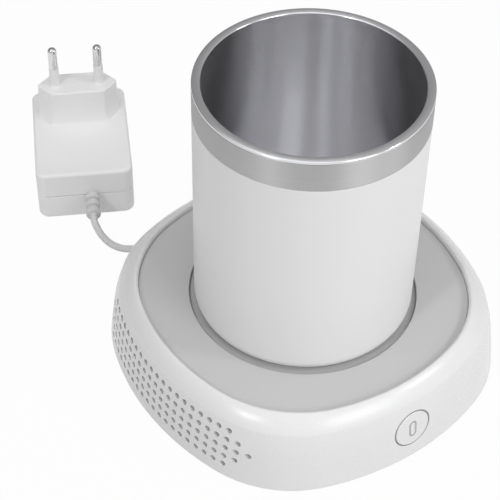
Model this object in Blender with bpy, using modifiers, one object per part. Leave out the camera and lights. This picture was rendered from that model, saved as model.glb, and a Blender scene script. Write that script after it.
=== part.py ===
# Self heating mug: a steel-lined cup on a fan-cooled warming base, with a wall adapter on a lead.
# Blender 4.5, metres, +Z up. The origin is on the desk, on the axis of the cup.
# The button faces -Y, the vents are in the -X wall, and the power socket faces +Y.
import bpy
import bmesh
import math
import numpy as np
from mathutils import Matrix, Vector

# Clearances
fit_gap = 0.0003
running_gap = 0.0001
thread_gap = 0.0003
cut_overrun = 0.0020
join_overlap = 0.0004

# Round pieces: how many flats stand for a circle
cup_sides = 32
ring_sides = 24
small_sides = 12
tiny_sides = 8
vent_sides = 6
corner_steps = 3
edge_steps = 2

# Base case
case_lift = 0.0010
case_wall = 0.0020
tray_border = 0.0169
shoulder_width = 0.0091
shoulder_drop = 0.0072
wall_draft = 0.0019
wall_foot_rise = 0.0030
foot_round = 0.0015
small_round = 0.0005
foot_side_arc = 0.1100
corner_arc = 0.0470
lip_side_arc = 0.0870
lip_round = 0.0012
ledge_depth = 0.0048
ledge_width = 0.0034
shoulder_steps = 4
shoulder_flatness = 1.54  # 1 is a round shoulder and 2 a straight slope
round_steps = 2

# Vent grid in the left side wall
vent_radius = 0.0009
vent_column_pitch = 0.00412
vent_row_pitch = 0.00435
vent_rows = 5
vent_middle_drop = 0.0086
vent_side_columns = 12
facet_columns = 4

# Tray and cup well
tray_thickness = 0.0016
tray_edge_rise = 0.0006
tray_edge_width = 0.0035
well_clearance = 0.0020
well_depth = 0.0014
well_ring_flange = 0.0035
well_ring_thickness = 0.0023
plate_margin = 0.0060
plate_flange = 0.0032
plate_flange_thickness = 0.0011

# Thermoelectric stack, from the plate down
module_margin = 0.0100
module_thickness = 0.0036
stack_margin = 0.0060
module_notch = 0.0160
sink_base = 0.0028
fin_height = 0.0052
fin_thickness = 0.0010
fin_pitch = 0.0040
fin_count = 11
sink_pillar_radius = 0.0032
fan_thickness = 0.0080
fan_pad_height = 0.0007
fan_rim = 0.0015
fan_hole_inset = 0.0050
fan_hub_radius = 0.0120
fan_hub_floor = 0.0012
fan_strut_width = 0.0024
fan_strut_count = 3
bearing_tube_radius = 0.0034
bearing_radius = 0.0020
bearing_short = 0.0031
shaft_radius = 0.0009
rotor_clearance = 0.0015
rotor_wall = 0.0012
rotor_short = 0.0021
blade_count = 7
blade_chord = 0.0076
blade_thickness = 0.0012
blade_tilt_degrees = 38
stator_clearance = 0.0018
stator_short = 0.0025
stator_slot = 0.0030

# Bottom cover, feet and screws
bottom_thickness = 0.0025
foot_inset = 0.0279
foot_radius = 0.0070
foot_thickness = 0.0020
screw_pad_radius = 0.0088
screw_pad_height = 0.0055
case_screw_radius = 0.0013
case_screw_head_radius = 0.0026
case_screw_head = 0.0018
case_screw_reach = 0.0135
case_post_radius = 0.0034
fan_screw_radius = 0.0014
fan_screw_head_radius = 0.0026
fan_screw_head = 0.0015
fan_screw_sink = 0.0024
fan_pad_radius = 0.0036
slot_width = 0.0030
slot_margin = 0.0035
slot_count = 9
slot_field_inset = 0.0030

# Boards and what they carry
board_thickness = 0.0016
board_post_radius = 0.0022
board_post_inset = 0.0035
control_board_left = -0.0300
control_board_right = 0.0345
control_board_gap = 0.0035
control_board_inset = 0.0104
control_board_rise = 0.0052
inductor_radius = 0.0055
inductor_height = 0.0070
inductor_x = -0.0040
inductor_inset = 0.0090
capacitor_radius = 0.0040
capacitor_height = 0.0110
capacitor_x = -0.0200
capacitor_inset = 0.0095
chip_length = 0.0070
chip_width = 0.0050
chip_height = 0.0014
chip_x = 0.0060
chip_inset = 0.0095
sensor_radius = 0.0012
sensor_length = 0.0030
sensor_inset = 0.0015
lead_radius = 0.0007
button_lead_radius = 0.0008
module_lead_x = 0.0040
lead_corner_cut = 0.0040
lead_corner_run = 0.0050

# Button
button_rise = 0.0156
button_radius = 0.0077
button_lap = 0.0010
button_flange = 0.0010
button_travel = 0.0008
button_recess = 0.0001
button_stem_radius = 0.0020
mark_height = 0.0075
mark_width = 0.0034
mark_stroke = 0.0008
mark_depth = 0.0006
mark_end_steps = 5
button_board_width = 0.0200
button_board_height = 0.0160
button_board_inset = 0.0119
switch_side = 0.0060
switch_depth = 0.0035
plunger_radius = 0.0017
plunger_out = 0.0022
plunger_in = 0.0012
light_width = 0.0032
light_height = 0.0026
light_depth = 0.0019
light_drop = 0.0025
board_stay_width = 0.0025
board_stay_depth = 0.0030
board_stay_inset = 0.0015

# Power socket and plug
socket_x = 0.0240
socket_rise = 0.0120
socket_width = 0.0090
socket_height = 0.0100
socket_depth = 0.0118
socket_inset = 0.0081
socket_nose_radius = 0.0040
socket_bore_radius = 0.0031
socket_pin_radius = 0.0009
socket_bore_depth = 0.0063
plug_barrel_radius = 0.00275
plug_bore_radius = 0.0013
plug_barrel_in = 0.0095
plug_barrel_root = 0.0040
plug_grip_radius = 0.0045
plug_grip_length = 0.0130
plug_taper_length = 0.0090
plug_tail_radius = 0.0023
plug_tail_root_radius = 0.0026

# Cup
cup_radius = 0.0420
cup_height = 0.1032
sleeve_wall = 0.0014
sleeve_round = 0.0045
sleeve_floor = 0.0016
collar_height = 0.0126
collar_wall = 0.0014
cup_air_gap = 0.0010
liner_wall = 0.0008
lip_thickness = 0.0010
lip_roll = 0.0012
liner_corner = 0.0060
disc_thickness = 0.0030
seal_height = 0.0030
seal_drop = 0.0040

# Lead: cord, coil and adapter
cord_radius = 0.0015
cord_gap = 0.0003
coil_x = 0.0640
coil_y = 0.0970
coil_inner_radius = 0.0128
coil_pitch = 0.0035
coil_layers = 4
coil_layer_turns = 2.375
coil_loop_points = 24
coil_start_degrees = 90
climb_share = 0.25
adapter_width = 0.0410
adapter_length = 0.0570
adapter_depth = 0.0240
adapter_corner = 0.0045
adapter_edge = 0.0014
adapter_wall = 0.0018
adapter_turn_degrees = 62.5
relief_radius = 0.0031
relief_neck_radius = 0.0022
relief_length = 0.0130
relief_rib_count = 3
relief_rib_share = 0.68
relief_flange = 0.0012
relief_offset = 0.0025
relief_x = -0.0315
relief_y = 0.1085
block_margin = 0.0030
block_height = 0.0140
block_tip = 0.0062
block_rise = 0.0160
block_root_rise = 0.0090
block_root_spread = 0.0024
block_from_top = 0.0155
pin_spacing = 0.0190
pin_radius = 0.0020
pin_core_radius = 0.0012
pin_metal = 0.0100
pin_sleeve = 0.0090
pin_sleeve_radius = 0.0021
pin_inside = 0.0010
power_board_margin = 0.0055
power_board_end_margin = 0.0065
power_board_thickness = 0.0014
power_post_height = 0.0030
power_post_radius = 0.0020
transformer_length = 0.0160
transformer_width = 0.0160
transformer_clearance = 0.0130
bulk_capacitor_radius = 0.0040
bulk_capacitor_length = 0.0130

# Looks: colour, roughness, metallic
white_plastic = ((0.86, 0.86, 0.86), 0.35, 0.0)
grey_plastic = ((0.56, 0.57, 0.58), 0.45, 0.0)
dark_grey_plastic = ((0.36, 0.37, 0.38), 0.5, 0.0)
black_plastic = ((0.05, 0.05, 0.055), 0.5, 0.0)
rubber_grey = ((0.30, 0.30, 0.31), 0.9, 0.0)
seal_white = ((0.80, 0.80, 0.80), 0.7, 0.0)
satin_silver = ((0.62, 0.62, 0.62), 0.42, 1.0)
brushed_steel = ((0.58, 0.58, 0.59), 0.28, 1.0)
bright_metal = ((0.80, 0.80, 0.81), 0.12, 1.0)
plate_metal = ((0.72, 0.73, 0.74), 0.35, 1.0)
copper = ((0.72, 0.42, 0.25), 0.35, 1.0)
board_green = ((0.05, 0.25, 0.13), 0.5, 0.0)
ceramic_white = ((0.85, 0.85, 0.82), 0.6, 0.0)
foam_black = ((0.06, 0.06, 0.06), 0.95, 0.0)
light_clear = ((0.92, 0.95, 0.98), 0.2, 0.0)
cord_grey = ((0.66, 0.67, 0.68), 0.6, 0.0)
lead_red = ((0.60, 0.05, 0.04), 0.5, 0.0)
lead_black = ((0.04, 0.04, 0.04), 0.5, 0.0)

# Levels, from the desk upwards
bottom_top = case_lift + bottom_thickness
fan_pad_top = bottom_top + fan_pad_height
fan_bottom = fan_pad_top + fit_gap
fan_top = fan_bottom + fan_thickness
sink_bottom = fan_top + fit_gap
sink_base_bottom = sink_bottom + fin_height
sink_top = sink_base_bottom + sink_base
module_bottom = sink_top + fit_gap
module_top = module_bottom + module_thickness
plate_bottom = module_top + fit_gap
plate_flange_top = plate_bottom + plate_flange_thickness
well_ring_bottom = plate_flange_top + fit_gap
well_floor = well_ring_bottom + well_ring_thickness
tray_top = well_floor + well_depth
tray_bottom = tray_top - tray_thickness
ledge_top = tray_bottom - fit_gap
case_top = ledge_top + ledge_depth
case_height = case_top - case_lift
wall_top_rise = case_height - shoulder_drop
vent_middle_rise = wall_top_rise - vent_middle_drop
cup_bottom = well_floor + fit_gap
cup_top = cup_bottom + cup_height
button_height = case_lift + button_rise
socket_height_centre = case_lift + socket_rise
adapter_middle = adapter_depth / 2

# Widths, from the cup outwards
well_radius = cup_radius + well_clearance
plate_radius = cup_radius - plate_margin
liner_outer_radius = cup_radius - sleeve_wall - cup_air_gap
liner_inner_radius = liner_outer_radius - liner_wall
lip_side = well_radius + tray_border
shoulder_start = lip_side + lip_round
wall_top_side = lip_side + shoulder_width
wall_foot_side = wall_top_side + wall_draft
foot_place = wall_foot_side - foot_inset
stack_side = 2 * (plate_radius - stack_margin)
module_side = stack_side - 2 * module_margin
sensor_x = plate_radius - sensor_inset
control_board_front = stack_side / 2 + control_board_gap
control_board_back = wall_foot_side - control_board_inset
button_board_face = wall_foot_side - button_board_inset
button_hole_radius = button_radius + fit_gap
button_flange_radius = button_hole_radius + button_lap
light_offset = button_board_height / 2 - light_drop
socket_body_front = wall_foot_side - socket_inset
socket_back = socket_body_front - socket_depth
socket_bore_back = socket_body_front - socket_bore_depth

# The fan's own sizes
fan_bore_radius = stack_side / 2 - fan_rim
fan_hole_offset = stack_side / 2 - fan_hole_inset
rotor_radius = fan_bore_radius - rotor_clearance
rotor_height = fan_thickness - rotor_short
bearing_length = fan_thickness - bearing_short
stator_radius = fan_hub_radius - rotor_wall - stator_clearance
stator_height = rotor_height - stator_short
slot_field_radius = fan_bore_radius - slot_field_inset
slot_pitch = (slot_field_radius - slot_margin) / (slot_count // 2)

# What the adapter's size sets
power_board_width = adapter_width - 2 * power_board_margin
power_board_length = adapter_length - 2 * power_board_end_margin
transformer_height = adapter_depth - transformer_clearance
block_width = adapter_width - 2 * block_margin

for thing in list(bpy.data.objects):
    bpy.data.objects.remove(thing, do_unlink=True)

parts = bpy.data.collections.new("self_heating_mug")
cutters = bpy.data.collections.new("cutters")
bpy.context.scene.collection.children.link(parts)
bpy.context.scene.collection.children.link(cutters)


# Objects and modifiers

def paint(thing, look):
    colour, roughness, metallic = look
    material = bpy.data.materials.new(thing.name)
    material.use_nodes = True
    shader = material.node_tree.nodes["Principled BSDF"]
    shader.inputs["Base Color"].default_value = (*colour, 1.0)
    shader.inputs["Roughness"].default_value = roughness
    shader.inputs["Metallic"].default_value = metallic
    thing.data.materials.append(material)


def part(name, data, look, place=(0, 0, 0), turn=0.0):
    thing = bpy.data.objects.new(name, data)
    parts.objects.link(thing)
    thing.location = place
    thing.rotation_euler = (0, 0, turn)
    paint(thing, look)
    if thing.type == "MESH":
        data.shade_smooth()
        data.set_sharp_from_angle(angle=math.radians(35))
    return thing


def helper(name, data, place=(0, 0, 0), turn=0.0):
    thing = bpy.data.objects.new(name, data)
    cutters.objects.link(thing)
    thing.location = place
    thing.rotation_euler = (0, 0, turn)
    thing.hide_render = True
    thing.display_type = "WIRE"
    return thing


def boolean(thing, other, operation):
    step = thing.modifiers.new(f"{operation.lower()} {other.name}", "BOOLEAN")
    step.operation = operation
    step.solver = "EXACT"
    step.object = other


def cut(thing, other):
    boolean(thing, other, "DIFFERENCE")


def add(thing, other):
    boolean(thing, other, "UNION")


def axis_empty(name, place):
    empty = bpy.data.objects.new(name, None)
    parts.objects.link(empty)
    empty.location = place
    return empty


def carry(empty, *things):
    for thing in things:
        thing.parent = empty
        thing.matrix_parent_inverse = Matrix.Translation(empty.location).inverted()


# Mesh shapes, each added to a bmesh

def mesh_of(name, shape):
    bmesh.ops.recalc_face_normals(shape, faces=shape.faces[:])
    mesh = bpy.data.meshes.new(name)
    shape.to_mesh(mesh)
    shape.free()
    return mesh


def add_box(shape, low, high, spin=None):
    low, high = Vector(low), Vector(high)
    place = Matrix.Translation((low + high) / 2) @ Matrix.Diagonal((*(high - low), 1))
    if spin is not None:
        place = spin @ place
    bmesh.ops.create_cube(shape, size=1.0, matrix=place)


def add_cylinder(shape, radius, low, high, sides, x=0.0, y=0.0, spin=None, end_radius=None):
    place = Matrix.Translation((x, y, (low + high) / 2))
    if spin is not None:
        place = spin @ place
    bmesh.ops.create_cone(
        shape,
        cap_ends=True,
        segments=sides,
        radius1=radius,
        radius2=radius if end_radius is None else end_radius,
        depth=high - low,
        matrix=place,
    )


def box_mesh(name, low, high):
    shape = bmesh.new()
    add_box(shape, low, high)
    return mesh_of(name, shape)


def cylinder_mesh(name, radius, low, high, sides, x=0.0, y=0.0):
    shape = bmesh.new()
    add_cylinder(shape, radius, low, high, sides, x, y)
    return mesh_of(name, shape)


def arc(centre_across, centre_up, across, up, start_degrees, end_degrees, steps):
    """Points along an elliptic arc, measured from straight up towards the outside."""
    found = []
    for step in range(steps + 1):
        angle = math.radians(start_degrees + (end_degrees - start_degrees) * step / steps)
        found.append((centre_across + across * math.sin(angle), centre_up + up * math.cos(angle)))
    return found


def turned_mesh(name, profile, closed=False):
    """A profile in the XZ plane, for a Screw modifier: outer side first, top to bottom."""
    mesh = bpy.data.meshes.new(name)
    count = len(profile)
    edges = [(i, i + 1) for i in range(count - 1)]
    if closed:
        edges.append((count - 1, 0))
    mesh.from_pydata([(across, 0, up) for across, up in profile], edges, [])
    return mesh


def screw(thing, sides):
    step = thing.modifiers.new("turn", "SCREW")
    step.axis = "Z"
    step.steps = sides
    step.render_steps = sides
    step.use_merge_vertices = True
    step.merge_threshold = 0.00001
    return thing


def turned(name, profile, look, sides, closed=False, place=(0, 0, 0)):
    thing = part(name, turned_mesh(name, profile, closed), look, place)
    return screw(thing, sides)


def tube(name, points, radius, look, resolution=2, place=(0, 0, 0), turn=0.0):
    curve = bpy.data.curves.new(name, "CURVE")
    curve.dimensions = "3D"
    curve.bevel_depth = radius
    curve.bevel_resolution = resolution
    curve.use_fill_caps = True
    spline = curve.splines.new("POLY")
    spline.points.add(len(points) - 1)
    for spot, place_along in zip(spline.points, points):
        spot.co = (*place_along, 1)
    return part(name, curve, look, place, turn)


def smooth_route(route, spacing):
    """A centripetal Catmull-Rom curve through the route's points, read at an even spacing."""
    knots = np.array(route, float)
    before = 2 * knots[0] - knots[1]
    after = 2 * knots[-1] - knots[-2]
    knots = np.vstack([before, knots, after])
    fine = []
    for i in range(1, len(knots) - 2):
        p0, p1, p2, p3 = knots[i - 1:i + 3]
        t0 = 0.0
        t1 = t0 + np.linalg.norm(p1 - p0) ** 0.5
        t2 = t1 + np.linalg.norm(p2 - p1) ** 0.5
        t3 = t2 + np.linalg.norm(p3 - p2) ** 0.5
        for t in np.linspace(t1, t2, 24, endpoint=False):
            a1 = (t1 - t) / (t1 - t0) * p0 + (t - t0) / (t1 - t0) * p1
            a2 = (t2 - t) / (t2 - t1) * p1 + (t - t1) / (t2 - t1) * p2
            a3 = (t3 - t) / (t3 - t2) * p2 + (t - t2) / (t3 - t2) * p3
            b1 = (t2 - t) / (t2 - t0) * a1 + (t - t0) / (t2 - t0) * a2
            b2 = (t3 - t) / (t3 - t1) * a2 + (t - t1) / (t3 - t1) * a3
            fine.append((t2 - t) / (t2 - t1) * b1 + (t - t1) / (t2 - t1) * b2)
    fine.append(knots[-2])
    fine = np.array(fine)
    along = np.concatenate([[0.0], np.cumsum(np.linalg.norm(np.diff(fine, axis=0), axis=1))])
    count = max(3, round(along[-1] / spacing) + 1)
    stations = np.linspace(0.0, along[-1], count)
    return np.column_stack([np.interp(stations, along, fine[:, axis]) for axis in range(3)])


def length_of(points):
    return float(np.linalg.norm(np.diff(np.array(points), axis=0), axis=1).sum())


# The rounded square of the base: a wide arc on each side and a tighter arc on each corner

def square_point(side, side_arc, corner, angle):
    """The outline's point where its outward normal is this far round from a side's middle."""
    reach = side - side_arc
    step = side_arc - corner
    corner_centre = (2 * reach + math.sqrt(8 * step * step - 4 * reach * reach)) / 4
    change = math.atan2(corner_centre, corner_centre - reach)
    if angle <= change:
        return reach + side_arc * math.cos(angle), side_arc * math.sin(angle)
    return (
        corner_centre + corner * math.cos(angle),
        corner_centre + corner * math.sin(angle),
    )


def eighth_angles():
    """Normal angles from a side's middle to the diagonal, with edges that fall between vent columns."""
    quarter = math.pi / 4
    angles = []
    column = 0
    while column <= vent_side_columns:
        across = column * vent_column_pitch
        low, high = 0.0, quarter
        for _ in range(40):
            middle = (low + high) / 2
            if square_point(wall_foot_side, foot_side_arc, corner_arc, middle)[1] < across:
                low = middle
            else:
                high = middle
        if quarter - low > math.radians(6):
            angles.append(low)
        column += facet_columns if column < vent_side_columns - facet_columns else facet_columns / 2
    angles.append(quarter)
    return angles


outline_angles = eighth_angles()


def square_outline(side, inset=0.0):
    """Points round the base at this half width, seen as the outline inset further out."""
    outer = side + inset
    share = (outer - lip_side) / (wall_foot_side - lip_side)
    share = min(max(share, 0.0), 1.0)
    side_arc = lip_side_arc + (foot_side_arc - lip_side_arc) * share - inset
    corner = corner_arc - inset
    eighth = [square_point(side, side_arc, corner, angle) for angle in outline_angles]
    quarter = [(x, -y) for x, y in reversed(eighth[1:-1])] + eighth
    outline = []
    for turn in range(4):
        cos, sin = round(math.cos(turn * math.pi / 2)), round(math.sin(turn * math.pi / 2))
        outline += [(x * cos - y * sin, x * sin + y * cos) for x, y in quarter]
    return outline


def circle_like(outline, radius):
    """A circle whose points lie at the same bearings as the outline's points."""
    return [(radius * x / math.hypot(x, y), radius * y / math.hypot(x, y)) for x, y in outline]


def loft_mesh(name, rings, closed):
    """Skins between unlike rings of (outline, height). Closed joins the last ring to the first."""
    shape = bmesh.new()
    rows = [[shape.verts.new((x, y, height)) for x, y in outline] for outline, height in rings]
    pairs = list(zip(rows, rows[1:]))
    if closed:
        pairs.append((rows[-1], rows[0]))
    else:
        shape.faces.new(rows[0])
        shape.faces.new(rows[-1])
    for one, two in pairs:
        for i in range(len(one)):
            j = (i + 1) % len(one)
            shape.faces.new((one[i], one[j], two[j], two[i]))
    return mesh_of(name, shape)


# Turning onto other axes, for pieces that lie along Y

facing_front = Matrix.Rotation(math.radians(90), 4, "X")
facing_back = Matrix.Rotation(math.radians(-90), 4, "X")


def front_spin(x, up):
    """Carries a piece built along +Z, whose height is its distance in front of the cup's axis."""
    return Matrix.Translation((x, 0, up)) @ facing_front


def back_spin(x, up):
    return Matrix.Translation((x, 0, up)) @ facing_back


def wall_side(rise):
    share = (rise - wall_foot_rise) / (wall_top_rise - wall_foot_rise)
    return wall_foot_side + (wall_top_side - wall_foot_side) * share


# Base case

def shoulder(across, up, start_degrees, steps):
    """Section of the shoulder from the lip down to the wall, flatter than a round one."""
    found = []
    for step in range(steps + 1):
        angle = math.radians(start_degrees + (90 - start_degrees) * step / steps)
        out = math.sin(angle) ** shoulder_flatness
        rise = max(math.cos(angle), 0.0) ** shoulder_flatness
        found.append((shoulder_start + across * out, case_lift + wall_top_rise + up * rise))
    return found


def top_cover():
    shoulder_across = wall_top_side - shoulder_start
    shoulder_up = case_height - wall_top_rise
    outer = [(lip_side - ledge_width, ledge_top), (lip_side, ledge_top)]
    outer += arc(shoulder_start, case_top - lip_round, lip_round, lip_round, -90, 0, round_steps)
    outer += shoulder(shoulder_across, shoulder_up, 0, shoulder_steps)[1:]
    foot_start = wall_foot_side - foot_round
    outer += arc(foot_start, case_lift + foot_round, foot_round, foot_round, 90, 180, round_steps)
    lip_inner = lip_side + case_wall
    inner = [(wall_foot_side - case_wall, case_lift)]
    inner.append((wall_foot_side - case_wall, case_lift + wall_foot_rise))
    inner += reversed(shoulder(shoulder_across - case_wall, shoulder_up - case_wall, 20, round_steps))
    inner.append((lip_inner, case_top - case_wall - join_overlap))
    inner.append((lip_inner, ledge_top - case_wall))
    inner.append((lip_side - ledge_width, ledge_top - case_wall))
    rings = [(square_outline(side), height) for side, height in outer]
    rings += [(square_outline(side, case_wall), height) for side, height in inner]
    thing = part("top_cover", loft_mesh("top_cover", rings, closed=True), white_plastic)

    vents = bmesh.new()
    half_way = wall_foot_side + cut_overrun
    inside = lip_side - ledge_width - case_wall
    along_x = Matrix.Rotation(math.radians(90), 4, "Y")
    middle = case_lift + vent_middle_rise
    for column in range(-vent_side_columns, vent_side_columns):
        across = column * vent_column_pitch + vent_column_pitch / 2
        from_end = min(column + vent_side_columns, vent_side_columns - 1 - column)
        rows = min(from_end, vent_rows // 2)
        for row in range(-rows, rows + 1):
            place = Matrix.Translation((0, across, middle + row * vent_row_pitch))
            add_cylinder(vents, vent_radius, -half_way, -inside, vent_sides, spin=place @ along_x)
    cut(thing, helper("vent_holes", mesh_of("vent_holes", vents)))

    posts = bmesh.new()
    for x, y in corners(foot_place):
        top = ledge_top - join_overlap
        add_cylinder(posts, case_post_radius, case_post_bottom(), top, tiny_sides, x, y)
    add(thing, helper("case_posts", mesh_of("case_posts", posts)))

    holes = bmesh.new()
    for x, y in corners(foot_place):
        low = case_post_bottom() - cut_overrun
        high = case_screw_top() + cut_overrun
        add_cylinder(holes, case_screw_radius + thread_gap, low, high, tiny_sides, x, y)
    reach = wall_foot_side + cut_overrun
    inside = wall_top_side - case_wall - cut_overrun
    button_spin = front_spin(0, button_height)
    add_cylinder(holes, button_hole_radius, inside, reach, ring_sides, spin=button_spin)
    socket_spin = back_spin(socket_x, socket_height_centre)
    nose_hole = socket_nose_radius + fit_gap
    add_cylinder(holes, nose_hole, socket_body_front, reach, small_sides, spin=socket_spin)
    cut(thing, helper("cover_holes", mesh_of("cover_holes", holes)))
    return thing


def corners(offset):
    return [(x * offset, y * offset) for x in (-1, 1) for y in (-1, 1)]


def case_post_bottom():
    return case_lift + screw_pad_height + fit_gap


def foot_recess_top():
    return foot_thickness + fit_gap


def case_screw_head_bottom():
    return foot_recess_top() + fit_gap


def case_screw_top():
    return case_screw_head_bottom() + case_screw_head + case_screw_reach


def bottom_cover():
    side = wall_foot_side - case_wall - fit_gap
    outline = square_outline(side, case_wall + fit_gap)
    rings = [(outline, case_lift), (outline, bottom_top)]
    thing = part("bottom_cover", loft_mesh("bottom_cover", rings, closed=False), white_plastic)

    raised = bmesh.new()
    base = bottom_top - join_overlap
    for x, y in corners(foot_place):
        top = case_lift + screw_pad_height
        add_cylinder(raised, screw_pad_radius, base, top, small_sides, x, y)
    for x, y in corners(fan_hole_offset):
        add_cylinder(raised, fan_pad_radius, base, fan_pad_top, tiny_sides, x, y)
    for x in (control_board_left + board_post_inset, control_board_right - board_post_inset):
        for y in (control_board_front + board_post_inset, control_board_back - board_post_inset):
            top = case_lift + control_board_rise - fit_gap
            add_cylinder(raised, board_post_radius, base, top, tiny_sides, x, y)
    stay_front = -button_board_face + board_thickness + fit_gap
    stay_top = button_height + button_board_height / 2 - board_stay_inset
    for side_sign in (-1, 1):
        outer = side_sign * button_board_width / 2
        inner = outer - side_sign * board_stay_width
        low = (min(outer, inner), stay_front, base)
        high = (max(outer, inner), stay_front + board_stay_depth, stay_top)
        add_box(raised, low, high)
    add(thing, helper("bottom_raised", mesh_of("bottom_raised", raised)))

    recesses = bmesh.new()
    for x, y in corners(foot_place):
        low = case_lift - cut_overrun
        recess = foot_radius + fit_gap
        add_cylinder(recesses, recess, low, foot_recess_top(), small_sides, x, y)
    for x, y in corners(fan_hole_offset):
        low = case_lift - cut_overrun
        high = case_lift + fan_screw_sink
        head = fan_screw_head_radius + fit_gap
        add_cylinder(recesses, head, low, high, tiny_sides, x, y)
    cut(thing, helper("foot_recesses", mesh_of("foot_recesses", recesses)))

    seats = bmesh.new()
    for x, y in corners(foot_place):
        low = foot_recess_top() - cut_overrun
        high = case_screw_head_bottom() + case_screw_head + fit_gap
        head = case_screw_head_radius + fit_gap
        add_cylinder(seats, head, low, high, tiny_sides, x, y)
    count = slot_count // 2
    for slot in range(-count, count + 1):
        y = slot * slot_pitch
        half = math.sqrt(slot_field_radius**2 - y**2)
        low = (-half, y - slot_width / 2, case_lift - cut_overrun)
        high = (half, y + slot_width / 2, bottom_top + cut_overrun)
        add_box(seats, low, high)
    cut(thing, helper("screw_seats_and_slots", mesh_of("screw_seats_and_slots", seats)))

    holes = bmesh.new()
    for x, y in corners(foot_place):
        high = case_lift + screw_pad_height + cut_overrun
        hole = case_screw_radius + fit_gap
        add_cylinder(holes, hole, case_screw_head_bottom(), high, tiny_sides, x, y)
    for x, y in corners(fan_hole_offset):
        low = case_lift + fan_screw_sink - join_overlap
        hole = fan_screw_radius + fit_gap
        add_cylinder(holes, hole, low, fan_pad_top + cut_overrun, tiny_sides, x, y)
    cut(thing, helper("screw_holes", mesh_of("screw_holes", holes)))


def feet_and_case_screws():
    for number, (x, y) in enumerate(corners(foot_place), 1):
        foot = arc(foot_radius - small_round, small_round, small_round, small_round, 90, 180, 1)
        profile = [(0, foot_thickness), (foot_radius, foot_thickness), *foot, (0, 0)]
        turned(f"foot_{number}", profile, rubber_grey, small_sides, place=(x, y, 0))
        top = case_screw_top()
        low = case_screw_head_bottom()
        profile = [
            (0, top),
            (case_screw_radius / 2, top),
            (case_screw_radius, top - case_screw_radius),
            (case_screw_radius, low + case_screw_head),
            (case_screw_head_radius, low + case_screw_head),
            (case_screw_head_radius, low),
            (0, low),
        ]
        turned(f"case_screw_{number}", profile, bright_metal, tiny_sides, place=(x, y, 0))


def tray():
    edge_outline = square_outline(lip_side - fit_gap, fit_gap)
    flat_outline = square_outline(lip_side - fit_gap - tray_edge_width, tray_edge_width + fit_gap)
    well = circle_like(edge_outline, well_radius)
    rings = [
        (well, tray_top),
        (flat_outline, tray_top),
        (edge_outline, tray_top + tray_edge_rise),
        (edge_outline, tray_bottom),
        (well, tray_bottom),
    ]
    part("top_tray", loft_mesh("top_tray", rings, closed=True), grey_plastic)


def well_and_plate():
    inner = plate_radius + fit_gap
    outer = well_radius - fit_gap
    flange = well_radius + well_ring_flange
    flange_top = tray_bottom - fit_gap
    profile = [
        (inner, well_floor),
        (outer, well_floor),
        (outer, flange_top),
        (flange, flange_top),
        (flange, well_ring_bottom),
        (inner, well_ring_bottom),
    ]
    turned("well_ring", profile, dark_grey_plastic, cup_sides, closed=True)
    flange = plate_radius + plate_flange
    profile = [
        (0, well_floor),
        (plate_radius, well_floor),
        (plate_radius, plate_flange_top),
        (flange, plate_flange_top),
        (flange, plate_bottom),
        (0, plate_bottom),
    ]
    turned("thermal_plate", profile, plate_metal, cup_sides)


# Thermoelectric stack

def module_and_insulation():
    half = module_side / 2
    mesh = box_mesh("peltier_module", (-half, -half, module_bottom), (half, half, module_top))
    part("peltier_module", mesh, ceramic_white)
    outer = stack_side / 2
    mesh = box_mesh("insulation_frame", (-outer, -outer, module_bottom), (outer, outer, module_top))
    frame = part("insulation_frame", mesh, foam_black)
    window = bmesh.new()
    hole = half + fit_gap
    low, high = module_bottom - cut_overrun, module_top + cut_overrun
    add_box(window, (-hole, -hole, low), (hole, hole, high))
    cut(frame, helper("module_window", mesh_of("module_window", window)))
    notch = bmesh.new()
    add_box(notch, (-module_notch / 2, 0, low), (module_notch / 2, outer + cut_overrun, high))
    cut(frame, helper("lead_notch", mesh_of("lead_notch", notch)))


def heat_sink():
    half = stack_side / 2
    mesh = box_mesh("heat_sink", (-half, -half, sink_base_bottom), (half, half, sink_top))
    thing = part("heat_sink", mesh, plate_metal)
    fins = bmesh.new()
    middle = fin_count // 2
    for fin in range(-middle, middle + 1):
        y = fin * fin_pitch
        low = (-half, y - fin_thickness / 2, sink_bottom)
        high = (half, y + fin_thickness / 2, sink_base_bottom + join_overlap)
        add_box(fins, low, high)
    for x, y in corners(fan_hole_offset):
        top = sink_base_bottom + join_overlap
        add_cylinder(fins, sink_pillar_radius, sink_bottom, top, small_sides, x, y)
    add(thing, helper("sink_fins", mesh_of("sink_fins", fins)))
    holes = bmesh.new()
    for x, y in corners(fan_hole_offset):
        high = sink_base_bottom + sink_base / 2
        hole = fan_screw_radius + thread_gap
        add_cylinder(holes, hole, sink_bottom - cut_overrun, high, tiny_sides, x, y)
    cut(thing, helper("sink_holes", mesh_of("sink_holes", holes)))


def fan_screws():
    low = case_lift + fan_screw_sink - fan_screw_head - fit_gap
    head_top = low + fan_screw_head
    top = sink_base_bottom
    for number, (x, y) in enumerate(corners(fan_hole_offset), 1):
        profile = [
            (0, top),
            (fan_screw_radius, top),
            (fan_screw_radius, head_top),
            (fan_screw_head_radius, head_top),
            (fan_screw_head_radius, low),
            (0, low),
        ]
        turned(f"fan_screw_{number}", profile, bright_metal, tiny_sides, place=(x, y, 0))


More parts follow.
